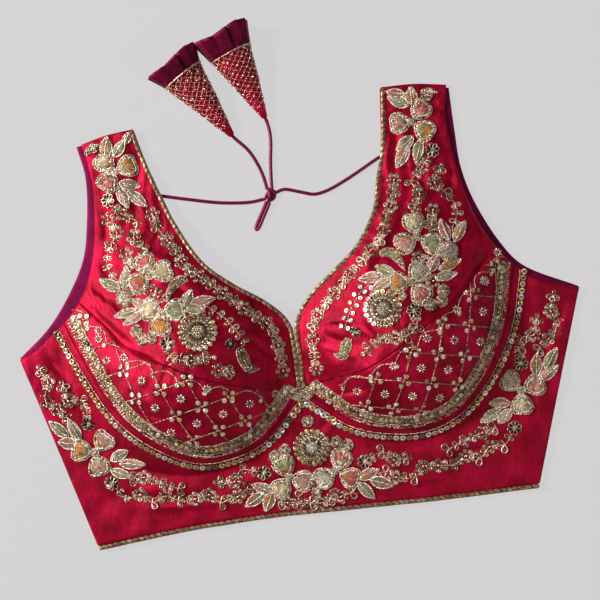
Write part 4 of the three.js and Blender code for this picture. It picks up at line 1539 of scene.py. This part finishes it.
def daisy(x, y, turn=12, size=12.0):
    """Eight loops, each round a smoky drop, and a light middle."""
    angles = turn + np.arange(8) * 45
    way = np.radians(angles)
    reach = size / 2
    sew("loop", x + 0.9 * np.cos(way), y + 0.9 * np.sin(way), angles, 0.55, reach - 0.7,
        reach * 0.98, 4.2, 0.62)
    sew("bead", x + reach * 0.62 * np.cos(way), y + reach * 0.62 * np.sin(way), angles, 0.55,
        reach * 0.66, 2.3, 1.8, np.where(flecks(8, 0.12), 0.98, -0.2))
    sew("bead", x, y, 0, 1.0, 2, 1.8, 1.5, 0.86)


def pair_sprig(marks, tint=0.64, bright=False):
    """A stem with a pair of loops (or of bright sequins) at each mark."""
    stem = smooth_line(marks, 40)
    coil(stem, 0.6, 0.95, 0.4, 1.3)
    run = np.gradient(np.array(marks, float), axis=0)
    for (x, y), (dx, dy) in zip(marks, run):
        angle = math.degrees(math.atan2(dy, dx))
        for way in (-1, 1):
            if bright:
                px, py = turned([(0, 2.9 * way)], x, y, angle)[0]
                sew("sequin", px, py, angle, 0.7, 3.9, 3.9, 4, hand.choice([0.6, 0.8, 1.0]))
                sew("bead", px, py, 0, 1.2, 1.2, 1.2, 1.1, 0.9)
            else:
                single_loop(x, y, angle + way * 58, 5.2, tint)


def vine(marks):
    """A garland along marks (x, y, figure), on a thin stem."""
    places = np.array([mark[:2] for mark in marks], float)
    coil(smooth_line(places, 24 * len(marks)), 0.6, 0.95, 0.4, 1.3)
    run = np.gradient(places, axis=0)
    for k, (here, after) in enumerate(zip(places, places[1:])):
        step = after - here
        if np.hypot(*step) > 8.5:
            toward = math.degrees(math.atan2(step[1], step[0]))
            for way in (-1, 1):
                single_loop(*(here + after) / 2, toward + way * (65 + 10 * (k % 2)), 4.4, 0.6)
    for (x, y, figure), (dx, dy) in zip(marks, run):
        angle = math.degrees(math.atan2(dy, dx))
        tint = hand.uniform(0.48, 0.66)
        if figure == "flower":
            ring_flower(x, y, angle + 30, tint)
        elif figure == "trefoil":
            trefoil(x, y, angle, tint)
        elif figure == "daisy":
            daisy(x, y, angle)
        elif figure == "sequin":
            sew("sequin", x, y, 0, 0.7, 4, 4, 4, 0.75)
            sew("bead", x, y, 0, 1.2, 1.2, 1.2, 1.1, 0.9)
        else:
            side = hand.choice([-1, 1])
            single_loop(x, y, angle + 50 * side, 7.2, tint)
            single_loop(x, y, angle - 60 * side, 6.6, tint)


# %% Coins, buttons, wheels and curled leaves
def coin(x, y, radius=5.3, tint=0.6):
    """A low mound wound with one coil from its middle to its rim."""
    add_pad(disc_outline(radius * 0.95, 16), x, y, 0, 1.5, "gold", "olive", lambda p: p[:, 1])
    turn = np.linspace(0, 1, 90) ** 0.6
    angle = turn * radius / 1.25 * 2 * np.pi
    reach = np.maximum(radius * turn, 0.2)
    line = np.column_stack([x + reach * np.cos(angle), y + reach * np.sin(angle)])
    line = spaced(line, round(line_length(line) / 1.35))
    count = len(line)
    run = np.gradient(line, axis=0)
    out = np.hypot(*(line - (x, y)).T)
    heading_of = np.degrees(np.arctan2(run[:, 1], run[:, 0]))
    tone = tint + hand.normal(0, 0.14, count) + (out < 1.2) * 0.35
    sew("bead", line[:, 0], line[:, 1], heading_of + 40, 0.6 + 1.1 * (1 - (out / radius) ** 2),
        1.9, 1.3, 1.3, tone)


def mound(x, y, radius, high, rings):
    """A dome covered with rings of grains: rows are (share out, grain long, wide, tint)."""
    add_pad(disc_outline(radius * 0.96, 20), x, y, 0, high, "gold", "olive", lambda p: p[:, 1])
    for share, long, wide, tint in rings:
        reach = radius * share
        count = max(1, round(2 * math.pi * reach / (wide * 1.08)))
        turn = np.arange(count) * 360 / count + share * 50
        way = np.radians(turn)
        lift = 0.5 + high * max(0.0, 1 - share**2) ** 0.6
        sew("bead", x + reach * np.cos(way), y + reach * np.sin(way), turn, lift, long, wide, wide,
            tint + hand.normal(0, 0.1, count), -50 * share**2)


def button(x, y, radius=8.4):
    """A raised button of coils that run down from a pale middle."""
    mound(x, y, radius, radius * 0.32, [
        (0.92, 2.8, 1.1, 0.62), (0.72, 2.6, 1.1, 0.72), (0.52, 2.2, 1.1, 0.86),
        (0.33, 1.6, 1.2, 0.96), (0.16, 1.4, 1.2, 1.0), (0.0, 1.5, 1.4, 1.0)])


def wheel(x, y, radius=15.5, glint_way=-60, shine=0.6):
    """A chakri: dome, dark spokes, rings, beads and a rim of sequins, with a painted glint that lightens
    the metal towards one side.
    """
    scale = radius / 15.5
    add_pad(disc_outline(radius * 0.8), x, y, 0, 0.8, "gold", "gold", lambda p: p[:, 1])
    mound(x, y, 4.8 * scale, 1.8, [
        (1.0, 1.4, 1.2, 0.78), (0.75, 1.4, 1.15, 0.85), (0.48, 1.4, 1.15, 0.9),
        (0.2, 1.3, 1.2, 0.95)])

    def round_about(kind, reach, count, lift, long, wide, high, tint, across=0):
        turn = np.arange(count) * 360 / count + reach * 7
        way = np.radians(turn)
        sew(kind, x + reach * scale * np.cos(way), y + reach * scale * np.sin(way), turn + across,
            lift, long * scale, wide * scale, high, tint(turn))

    # Painted glint: the metal's tints rise towards one side of the wheel, as if it caught the light there.
    def toward_painted_glint(turn):
        return 0.5 + 0.5 * np.cos(np.radians(turn - glint_way))

    round_about("bead", 6.6, 26, 0.7, 3.2, 1.35, 1.3,
                lambda t: np.where(flecks(len(t), 0.15), 0.95, 0.14))
    round_about("ring", 9.4, 19, 0.6, 2.9, 2.9, 3, lambda t: 0.55 + 0.2 * toward_painted_glint(t))
    round_about("bead", 9.4, 19, 0.6, 1.3, 1.2, 1.2, lambda t: 0.5 + 0.4 * toward_painted_glint(t))
    round_about("bead", 11.7, 27, 0.7, 2.0, 1.5, 1.4, lambda t: np.where(
        flecks(len(t), 0.3), 1.0, 0.5 + 0.3 * toward_painted_glint(t)), 90)
    round_about("sequin", 14.3, 19, 0.6, 4.3, 4.3, 4.5, lambda t: 0.3 + shine * toward_painted_glint(t)**2)
    round_about("bead", 14.3, 19, 1.2, 1.2, 1.2, 1.1, lambda t: 0.5 + 0.45 * toward_painted_glint(t))


def curled(marks, width=6.5):
    """A leaf filled with gold grains along a bent spine, with a coil round it."""
    spine = spaced(smooth_line(marks, 60), 34)
    run = unit(np.gradient(spine, axis=0))
    side = np.column_stack([-run[:, 1], run[:, 0]])
    share = np.linspace(0, 1, len(spine))
    half_width = width / 2 * np.sin(np.pi * (0.06 + 0.94 * share) ** 0.7) ** 0.8
    rim = np.vstack([spine + side * half_width[:, None], (spine - side * half_width[:, None])[::-1]])
    add_pad(rim[::3], 0, 0, 0, 1.3, "gold", "olive", lambda p: p[:, 1])
    coil(rim, 0.66, 1.15, 0.55, closed=True)
    for across in (-0.55, 0, 0.55):
        line = spine + side * (half_width * across)[:, None]
        place = spaced(line[3:-3], round(line_length(line[3:-3]) / 1.5))
        sew("bead", place[:, 0], place[:, 1], hand.uniform(0, 180, len(place)), 1.35, 1.8, 1.3,
            1.3, hand.uniform(0.4, 0.85, len(place)))


# %% Turning a list into pieces
def finish_work(work, tilt=0.12):
    """Makes the pieces of one part of the work from what has been sewn so far."""
    for kind, rows in sewn.items():
        if not rows:
            continue
        x, y, angle, lift, long, wide, high, tint, pitch = np.vstack(rows).T
        frames = lying_frames(silk_normal(x, y), np.radians(angle), np.radians(pitch))
        sizes = np.stack([long, wide, high], axis=-1) * MM
        metal = sequin_metal if kind == "sequin" else zari_metal
        piece = sewn_piece(f"{work}_{kind}s", small_shapes[kind], on_silk(x, y, lift),
                           euler_angles(frames), sizes, np.clip(tint, 0, 1), metal, tilt,
                           len(rows))
        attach(piece, "root")
        print(piece.name, len(x), "sewn,", len(piece.data.polygons), "faces")
        rows.clear()


def finish_pads(work):
    """Makes one piece of all cushions so far, with their thread colours."""
    data = bpy.data.meshes.new(work)
    data.from_pydata(np.vstack(pads["points"]).tolist(), [], pads["faces"])
    colours = data.attributes.new("thread", "FLOAT_COLOR", "POINT")
    colours.data.foreach_set("color", np.vstack(pads["colours"]).ravel())
    layer = data.uv_layers.new(name="cut")
    corners = np.zeros(len(data.loops), int)
    data.loops.foreach_get("vertex_index", corners)
    layer.data.foreach_set("uv", np.vstack(pads["map"])[corners].ravel())
    data.shade_smooth()
    data.materials.append(pastel_thread)
    piece = placed(work, data)
    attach(piece, "root")
    print(work, len(data.polygons), "faces")

# %% [markdown]
# ## Where the figures are sewn
#
# The layout follows the way such a blouse is drawn for the worker: a large flower with leaves on
# each shoulder and bust, garlands down the neck and the straps, a net on the cups, two bands
# along the cup seam, and a garland along the hem that meets in a wheel and two flowers under the
# bust. The two halves are alike and never quite mirrored, so each has marks of its own.

# %% Garlands: x, y and figure
def alternating(points, first="flower", second="trefoil"):
    return [(x, y, first if i % 2 == 0 else second) for i, (x, y) in enumerate(points)]


NECK_VINES = [
    alternating([(-106, 279), (-103, 267), (-96, 255), (-90, 245), (-86, 235), (-80, 227),
                 (-73, 221), (-64, 213), (-55, 204), (-47, 197), (-39, 189), (-30, 181),
                 (-22, 174), (-17, 166), (-15, 154), (-14, 143), (-14, 132)]),
    alternating([(102, 280), (100, 269), (96, 258), (90, 248), (87, 239), (82, 230), (74, 223),
                 (65, 215), (54, 206), (46, 198), (38, 191), (29, 183), (22, 175), (17, 166),
                 (15, 154), (15, 142), (15, 130)]),
]
STRAP_VINES = [
    [(-142, 296, "daisy"), (-132, 283, "flower"), (-120, 274, "loop"), (-124, 261, "flower"),
     (-117, 250, "trefoil")],
    [(138, 301, "daisy"), (128, 288, "flower"), (117, 277, "loop"), (122, 265, "flower"),
     (116, 254, "trefoil"), (112, 248, "loop")],
    [(-144, 280, "flower"), (-138, 268, "flower"), (-143, 260, "loop")],
    [(142, 284, "trefoil"), (136, 273, "flower"), (143, 265, "loop")],
    [(-132, 248, "flower"), (-130, 237, "trefoil")],
    [(131, 250, "flower"), (128, 239, "flower")],
]
CUP_VINES = [
    [(-105, 169, "daisy"), (-104, 158, "loop"), (-96, 154, "loop"), (-87, 152, "flower"),
     (-75, 153, "trefoil"), (-68, 152, "sequin")],
    [(101, 168, "daisy"), (102, 156, "loop"), (94, 149, "loop"), (83, 148, "flower"),
     (70, 149, "trefoil"), (61, 143, "loop"), (55, 138, "sequin")],
    [(-66, 141, "flower"), (-57, 138, "trefoil")],
]
SIDE_VINES = [
    [(224, 163, "trefoil"), (220, 151, "flower"), (226, 143, "loop"), (224, 137, "loop"),
     (215, 128, "flower"), (207, 121, "loop")],
    [(207, 145, "trefoil"), (203, 133, "flower"), (193, 132, "loop"), (189, 124, "loop"),
     (189, 110, "daisy")],
    [(-219, 159, "trefoil"), (-214, 149, "flower"), (-218, 140, "loop"), (-219, 134, "loop"),
     (-210, 125, "flower"), (-203, 118, "loop")],
    [(-202, 143, "trefoil"), (-199, 131, "flower"), (-188, 130, "loop"), (-185, 122, "loop"),
     (-185, 109, "daisy")],
]
HEM_VINES = [
    [(176, 56, "daisy"), (166, 43, "loop"), (153, 43, "flower"), (144, 35, "loop"),
     (132, 38, "flower"), (121, 32, "trefoil"), (107, 33, "flower"), (94, 34, "flower"),
     (87, 26, "loop"), (70, 28, "flower"), (62, 33, "loop")],
    [(160, 59, "loop"), (148, 56, "flower"), (132, 51, "trefoil"), (118, 46, "loop")],
    [(80, 43, "trefoil"), (70, 43, "flower"), (62, 51, "loop"), (45, 45, "daisy")],
    [(-172, 56, "daisy"), (-161, 41, "trefoil"), (-149, 43, "flower"), (-140, 35, "loop"),
     (-128, 39, "flower"), (-116, 33, "trefoil"), (-103, 33, "flower"), (-91, 35, "flower"),
     (-82, 27, "loop"), (-67, 30, "flower"), (-59, 35, "loop")],
    [(-156, 57, "loop"), (-144, 57, "flower"), (-129, 50, "trefoil"), (-116, 44, "loop")],
    [(-80, 44, "trefoil"), (-68, 43, "flower"), (-61, 52, "loop"), (-42, 47, "daisy")],
    [(-33, 20, "loop"), (-25, 19, "flower"), (-15, 17, "trefoil"), (-6, 16, "loop"),
     (3, 15, "flower"), (12, 17, "trefoil"), (21, 18, "flower"), (29, 20, "loop")],
]
LOOP_SPRIGS = [
    [(-146, 256), (-149, 249), (-150, 241), (-147, 233), (-142, 226)],
    [(147, 261), (151, 253), (152, 246), (149, 239), (145, 233)],
    [(-72, 197), (-66, 192), (-60, 187), (-54, 181), (-50, 175), (-46, 169), (-43, 163)],
]
SEQUIN_SPRIGS = [[(68, 194), (62, 191), (57, 186), (53, 180), (49, 174), (46, 168), (43, 162)]]
for marks in NECK_VINES + STRAP_VINES + CUP_VINES + SIDE_VINES:
    vine(marks)
for marks in LOOP_SPRIGS:
    pair_sprig(marks)
for marks in SEQUIN_SPRIGS:
    pair_sprig(marks, bright=True)
finish_work("garland")
for marks in HEM_VINES:
    vine(marks)
for x, y, angle in ((-11, 26, 190), (12, 24, 350)):
    single_loop(x, y, angle)
finish_work("hem_garland")

# %% Large flowers: middle, then petals as x, y and two threads
FLOWERS = [
    (-133, 320, [(-141, 329, "rose", "cream"), (-122, 323, "cream", "orange"),
                 (-140, 312, "pink", "rose")]),
    (-113, 227, [(-117, 238, "cream", "rose"), (-124, 222, "orange", "rose"),
                 (-103, 229, "green", "cream")]),
    (-106, 194, [(-116, 198, "pink", "cream"), (-109, 184, "orange", "orange"),
                 (-96, 195, "olive", "green")]),
    (124, 328, [(133, 337, "pink", "rose"), (114, 328, "olive", "pink"),
                (134, 319, "green", "orange")]),
    (114, 229, [(113, 241, "green", "cream"), (103, 225, "orange", "pink"),
                (125, 222, "olive", "green")]),
    (102, 192, [(92, 193, "olive", "orange"), (110, 199, "green", "white"),
                (109, 181, "pink", "rose")]),
    (186, 87, [(178, 96, "pink", "cream"), (198, 90, "orange", "pink"),
               (185, 75, "green", "cream")]),
    (-183, 84, [(-174, 93, "orange", "pink"), (-194, 87, "green", "orange"),
                (-181, 72, "green", "pink")]),
    (-21, 41, [(-24, 51, "orange", "green"), (-10, 36, "pink", "pink"),
               (-29, 32, "green", "cream")]),
    (19, 41, [(25, 50, "green", "rose"), (9, 36, "green", "white"),
              (31, 33, "orange", "rose")]),
]
# x, y, heading, length, width, threads
LEAVES = [
    (-122, 307, -16, 17, 8, "pink", "white"), (-117, 294, -46, 19, 8, "olive", "pink"),
    (-129, 297, -72, 19, 8, "pink", "cream"), (-138, 342, 78, 16, 9, "cream", "orange"),
    (-127, 339, 50, 16, 8, "cream", "green"), (-119, 347, 60, 10, 6, "pink", "rose"),
    (-135, 228, 76, 18, 8, "olive", "cream"), (-149, 224, 146, 19, 8, "olive", "green"),
    (-137, 198, 186, 19, 7, "olive", "cream"), (-124, 204, 146, 17, 8, "cream", "orange"),
    (-131, 193, 204, 19, 7, "pink", "white"), (-85, 202, 60, 18, 9, "olive", "pink"),
    (-72, 200, 4, 19, 7, "pink", "pink"), (-80, 194, -18, 17, 7, "olive", "cream"),
    (115, 347, 146, 18, 9, "olive", "white"), (127, 350, 84, 14, 9, "orange", "cream"),
    (114, 354, 162, 15, 7, "pink", "rose"), (116, 310, 212, 17, 9, "olive", "cream"),
    (112, 299, 236, 20, 9, "pink", "cream"), (126, 302, 250, 19, 8, "green", "cream"),
    (138, 232, 102, 18, 8, "pink", "rose"), (151, 229, 52, 19, 8, "orange", "cream"),
    (83, 204, 146, 17, 8, "green", "green"), (70, 200, 182, 19, 8, "pink", "rose"),
    (78, 193, 204, 19, 7, "cream", "orange"), (124, 205, 52, 16, 8, "pink", "pink"),
    (138, 202, 16, 20, 7, "orange", "orange"), (133, 193, 4, 18, 7, "green", "cream"),
    (202, 107, 84, 17, 9, "olive", "orange"), (215, 111, 52, 19, 8, "olive", "green"),
    (212, 99, 32, 18, 8, "pink", "white"), (166, 79, 172, 17, 8, "pink", "cream"),
    (157, 69, 204, 19, 8, "green", "cream"), (169, 67, 218, 15, 8, "cream", "cream"),
    (-211, 108, 132, 19, 8, "olive", "green"), (-198, 106, 112, 19, 8, "olive", "cream"),
    (-205, 95, 164, 15, 9, "pink", "pink"), (-162, 79, 24, 17, 8, "olive", "green"),
    (-152, 70, -8, 21, 8, "pink", "cream"), (-163, 63, -26, 18, 7, "green", "cream"),
    (-45, 34, 152, 18, 8, "olive", "pink"), (-53, 25, 208, 18, 8, "olive", "rose"),
    (-41, 22, 242, 16, 9, "orange", "cream"), (47, 34, 16, 18, 8, "orange", "pink"),
    (57, 25, -22, 19, 9, "olive", "rose"), (43, 20, -52, 18, 8, "green", "green"),
]
for x, y, angle, long, wide, first, second in LEAVES:
    leaf(x, y, angle, long, wide, first, second)
finish_work("leaf_metal")
for x, y, petals in FLOWERS:
    large_flower(x, y, petals)
finish_work("flower_metal")

# %% Wheels, buttons, coins and curled leaves
# For each wheel, the third number is the side where its glint is painted and the fourth is how strongly
# its sequins are painted bright.
for x, y, glint_way, shine in ((-79, 175, -50, 0.6), (76, 173, 175, 0.75), (2, 63, 90, 0.3)):
    wheel(x, y, 15.5, glint_way, shine)
for x, y, radius in ((-137, 211, 8), (138, 213, 9)):
    button(x, y, radius)
COINS = [(-130, 182), (-126, 175), (-118, 175), (128, 181), (125, 173), (115, 171),
         (-31, 60), (-22, 64), (23, 65), (32, 61)]
for x, y in COINS:
    coin(x, y, 5.3, 0.55)
for x, y, radius in ((94, 181, 3.4), (140, 349, 5.5), (-149, 342, 4.2), (1, 86, 5.2),
                     (1, 25, 4.8)):
    coin(x, y, radius)
for x, y in ((-114, 214), (-108, 208), (128, 237), (112, 211), (118, 206), (121, 190), (0, 36)):
    ring_flower(x, y, 10, 0.6)
CURLS = [
    ([(-83, 220), (-91, 219), (-97, 213), (-102, 203)], 7.5),
    ([(81, 219), (89, 219), (95, 212), (99, 202)], 7.5),
    ([(-47, 157), (-45, 147), (-41, 138), (-33, 137)], 8.5),
    ([(45, 152), (41, 144), (38, 138), (31, 141)], 8.5),
    ([(-156, 338), (-150, 343), (-143, 345)], 5), ([(136, 352), (143, 352), (150, 350)], 5),
]
for marks, width in CURLS:
    curled(marks, width)
for x, y in ((-54, 161), (51, 157)):
    daisy(x, y, 0, 9.5)
finish_work("raised")
finish_pads("pads")

# %% [markdown]
# ## The net on the cups
#
# On each cup a slanting net of couched metal thread is laid first, and its diamonds are then
# filled: four sequins round every crossing and a small eight-rayed flower in every diamond. The
# net bends slightly, because it is drawn on cloth that is already cupped.

# %% Net, crossings and small flowers
NET_START = {"left": (-84, 113), "right": (85, 111)}
NET_ACROSS, NET_UP, NET_BEND = (22.5, -4.8), (9.7, 22.8), (-0.9, 0.5)
NET_MARGIN = 14.5  # mm between the net and the cup seam
NET_SPAN = 6  # crossings each way from the start
LINE_POINTS = 400
SCALLOP_PITCH = 22.5


def net_point(side, i, j):
    """The crossing (i, j) of a side's net, also for parts of a step."""
    i, j = np.asarray(i, float), np.asarray(j, float)
    x = i * NET_ACROSS[0] + j * NET_UP[0] + j**2 * NET_BEND[0]
    y = i * NET_ACROSS[1] + j * NET_UP[1] + j**2 * NET_BEND[1]
    start = NET_START[side]
    return np.stack([start[0] + SIDES[side] * x, start[1] + y], axis=-1)


def inside(points, outline):
    """True for the points that lie inside a closed outline."""
    x, y = points[:, :1], points[:, 1:]
    x0, y0 = outline[:, 0][None], outline[:, 1][None]
    x1, y1 = np.roll(outline[:, 0], -1)[None], np.roll(outline[:, 1], -1)[None]
    straddles = (y0 > y) != (y1 > y)
    with np.errstate(divide="ignore", invalid="ignore"):
        crossing = x0 + (y - y0) / (y1 - y0) * (x1 - x0)
    return (straddles & (x < crossing)).sum(axis=1) % 2 == 1


def runs(line, keep):
    """The stretches of a line where keep is true."""
    found, start = [], None
    for i, kept in enumerate([*keep, False]):
        if kept and start is None:
            start = i
        elif not kept and start is not None:
            if i - start > 4:
                found.append(line[start:i])
            start = None
    return found


def rayed_flower(x, y, size=8.4, turn=0):
    """Eight short silver tubes round a bead."""
    angles = turn + np.arange(8) * 45
    way = np.radians(angles)
    sew("bead", x + size * 0.3 * np.cos(way), y + size * 0.3 * np.sin(way), angles, 0.6,
        size * 0.36, 1.5, 1.4, hand.uniform(0.8, 1.0, 8))
    sew("bead", x, y, 0, 0.8, 1.6, 1.6, 1.4, 0.55)


EXTRA_RAYS = {"left": [(-164, 180), (-143, 162)], "right": [(166, 184), (181, 207)]}
SPAN = np.arange(-NET_SPAN, NET_SPAN + 1)
for side, way in SIDES.items():
    top = offset_line(pattern_line(CROSS_SEAM, side, 120), -way * 3.2)
    low = offset_line(pattern_line(KATORI_SEAM, side, 160), way * NET_MARGIN)
    outline = np.vstack([top, low[::-1]])
    fine = np.linspace(-NET_SPAN, NET_SPAN, LINE_POINTS)
    for k in SPAN:
        fixed = np.full(LINE_POINTS, k)
        for line in (net_point(side, fixed, fine), net_point(side, fine, fixed)):
            for stretch in runs(line, inside(line, outline)):
                coil(stretch, 0.5, 1.0, 0.35, 1.6, 14)
    i, j = [axis.ravel() for axis in np.meshgrid(SPAN, SPAN)]
    crossings = net_point(side, i, j)
    for x, y in crossings[inside(crossings, outline)]:
        sew("bead", x, y, 45, 0.7, 1.6, 1.6, 1.5, 0.7)
        for turn in (45, 135, 225, 315):
            px, py = turned([(4.5, 0)], x, y, turn + way * 10)[0]
            tone = hand.choice([0.45, 0.62, 0.8, 1.0], p=[0.2, 0.25, 0.25, 0.3])
            sew("sequin", px, py, turn, 0.55, 4.1, 4.1, 4.4, tone)
            sew("bead", px, py, 0, 1.1, 1.2, 1.2, 1.1, 0.8)
    middles = net_point(side, i + 0.5, j + 0.5)
    tight = np.vstack([offset_line(top, -way * 2.5), offset_line(low, way * 2.5)[::-1]])
    for x, y in [*middles[inside(middles, tight)], *EXTRA_RAYS[side]]:
        rayed_flower(x, y, 8.6, way * 12)
    walked = np.linspace(0, line_length(top), len(top))
    dips = np.abs(np.sin(np.pi * (walked - 6) / SCALLOP_PITCH))
    shift = unit(np.gradient(top, axis=0))
    inward = np.column_stack([shift[:, 1], -shift[:, 0]]) * way
    scallop = top + inward * ((1 - dips) * 5.5 + 0.5)[:, None]
    clear = walked > 26
    coil(scallop[clear], 0.62, 1.0, 0.35, 1.6, 14)
    for at in np.arange(28.5, walked[-1] - 4, SCALLOP_PITCH):
        k = int(np.argmin(np.abs(walked - at)))
        px, py = (top + inward * 8.5)[k]
        sew("sequin", px, py, 0, 0.55, 3.8, 3.8, 4, 0.7)
finish_work("net")

# %% Bands along the cup seam
def along(line, pitch):
    """Places at an even pitch along a line, with their headings in degrees."""
    place = spaced(line, max(4, round(line_length(line) / pitch)))
    run = np.gradient(place, axis=0)
    return place, np.degrees(np.arctan2(run[:, 1], run[:, 0]))


def seam_line(side, distance):
    """The cup seam moved towards the middle of the cup."""
    return offset_line(pattern_line(KATORI_SEAM, side, 300), SIDES[side] * distance)


def row_of(line, kind, pitch, long, wide, high, tint, spread=0.0, turn=0.0, lift=0.5, skip=0.0):
    place, angle = along(line, pitch)
    kept = hand.random(len(place)) >= skip
    place, angle = place[kept], angle[kept]
    tone = np.clip(tint + hand.normal(0, spread, len(place)), 0, 1)
    sew(kind, place[:, 0], place[:, 1], angle + turn, lift, long, wide, high, tone)


for side, way in SIDES.items():
    for distance in (3.7, 4.9):
        row_of(seam_line(side, distance), "bead", 2.5, 2.7, 1.5, 1.2, 0.62, 0.16, 12, skip=0.14)
    row_of(seam_line(side, 6.4), "bead", 1.3, 1.9, 0.95, 0.95, 0.66, 0.08, 20)
    row_of(seam_line(side, 8.3), "ring", 2.6, 3.1, 3.1, 3.2, 0.56, 0.12)
    row_of(seam_line(side, 8.3), "bead", 2.6, 1.6, 1.3, 1.3, 0.5, 0.25)
    row_of(seam_line(side, 10.3), "sequin", 4.3, 4.0, 4.0, 4.2, 0.5, 0.22, lift=0.95)
    row_of(seam_line(side, 10.3), "bead", 4.3, 1.3, 1.3, 1.2, 0.62, 0.2, lift=1.6)
    row_of(seam_line(side, 12.4), "ring", 2.6, 3.0, 3.0, 3.0, 0.56, 0.12)
    row_of(seam_line(side, 12.4), "bead", 2.6, 1.4, 1.3, 1.2, 0.5, 0.25)
    row_of(seam_line(side, 14.0), "bead", 1.3, 1.9, 0.95, 0.95, 0.6, 0.08, 20)

# The two bands meet across the foot of the opening.
for drop, kind in ((0, "ring"), (2.7, "sequin"), (5.4, "ring"), (8.1, "ring")):
    bridge = smooth_line([(-11, 118 - drop), (-5, 114 - drop), (0, 112.5 - drop), (5, 114 - drop),
                          (11, 118 - drop)], 60)
    row_of(bridge, kind, 2.7, 3.2, 3.2, 3.2, 0.56, 0.14, lift=1.3)
    row_of(bridge, "bead", 2.7, 1.5, 1.3, 1.3, 0.55, 0.2, lift=1.7)

# Distance outside the seam, from the middle front to the armhole.
OUTER_ROW = [(0, 8.5), (0.1, 7), (0.3, 5.4), (0.55, 6.5), (0.8, 8.5), (1, 10)]
for side, way in SIDES.items():
    base = pattern_line(KATORI_SEAM, side, 300)
    share = np.linspace(0, 1, len(base))
    out = np.interp(share, *np.array(OUTER_ROW).T)
    run = unit(np.gradient(base, axis=0))
    outward = np.column_stack([run[:, 1], -run[:, 0]]) * way
    line = base + outward * out[:, None]
    line = line[(line[:, 0] * way > 2) & (share < 0.985)]
    place, angle = along(line, 5.5)
    shine = hand.choice([0.3, 0.5, 0.7, 0.85, 1.0], len(place), p=[0.2, 0.28, 0.22, 0.12, 0.18])
    sew("sequin", place[:, 0], place[:, 1], angle, 0.6, 5.3, 5.3, 5.6, shine)
    sew("bead", place[:, 0], place[:, 1], angle, 1.15, 1.3, 1.3, 1.1, 0.2)
    between = (place[1:] + place[:-1]) / 2
    sew("bead", between[:, 0], between[:, 1], angle[1:] + 90, 0.5, 2.2, 1.1, 1.1, 0.2)
    inner = (base + outward * (out - 3.4)[:, None])
    inner = inner[(inner[:, 0] * way > 2) & (share < 0.985)]
    coil(inner, 0.58, 1.1, 0.45, 1.25)
finish_work("seam_band")

# %% [markdown]
# ## The cloth, finished
#
# Every panel lies where it was laid down: the front on the back, the back on the table. The
# sizes are estimates of each piece cut and spread out flat. A cup needs more cloth than its
# outline shows, and these don't allow enough for the band and for the left cup's length.

# %% Each panel's finish, with a table of the estimated width and length of its flat cut in mm
PANEL_CUTS = {
    "back_panel": (484, 356),
    "armhole_lining_left": (34, 210),
    "armhole_lining_right": (34, 210),
    "front_band": (498, 182),
    "front_upper_left": (202, 262),
    "front_upper_right": (202, 262),
    "katori_left": (226, 148),
    "katori_right": (226, 148),
}


for node, (wide, long) in PANEL_CUTS.items():
    panel = panels[node]
    is_lining = "lining" in node
    panel.data.materials.append(lining_cloth if is_lining else
                                smooth_silk if node == "front_band" else red_silk)
    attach(panel, "root")
    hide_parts(node)

# %% [markdown]
# ## Floor and light
#
# Flat garments are shown on a plain pale ground with almost no shadow, and with one window-like
# light from the upper left that rakes over the folds. The ground glows a little by itself, so it
# stays even while the light can be kept low and slanting.

# %% Floor and lights
FLOOR_HALF = 3
corners = [(-FLOOR_HALF, -FLOOR_HALF), (FLOOR_HALF, -FLOOR_HALF), (FLOOR_HALF, FLOOR_HALF),
           (-FLOOR_HALF, FLOOR_HALF)]
floor_data = bpy.data.meshes.new("floor")
floor_data.from_pydata([(x, y, -0.0004) for x, y in corners], [], [(0, 1, 2, 3)])
ground = Finish("pale ground", Base_Color=rgb(0.05, 0.0492, 0.0498), Roughness=0.95,
                Emission_Color=rgb(0.612, 0.600, 0.606), Emission_Strength=1.0,
                Specular_IOR_Level=0.05)
floor_data.materials.append(ground.material)
floor = placed("floor", floor_data)


def soft_box(name, position, size, watts, colour=(1, 1, 1)):
    """A square lamp that faces the garment."""
    data = bpy.data.lights.new(name, "AREA")
    data.size = size
    data.energy = watts
    data.color = colour
    light = placed(name, data)
    light.location = position
    toward = Vector((0, 0, 0.02)) - Vector(position)
    light.rotation_euler = toward.to_track_quat("-Z", "Y").to_euler()


soft_box("key", (-1.5, 0.66, 1.05), 0.42, 48)
soft_box("fill", (0.9, -0.7, 1.2), 0.8, 5)
room = bpy.data.worlds.new("room")
room.use_nodes = True
room.node_tree.nodes["Background"].inputs["Color"].default_value = (1, 1, 1, 1)
room.node_tree.nodes["Background"].inputs["Strength"].default_value = 0.13
scene.world = room
scene.view_settings.view_transform = "Standard"
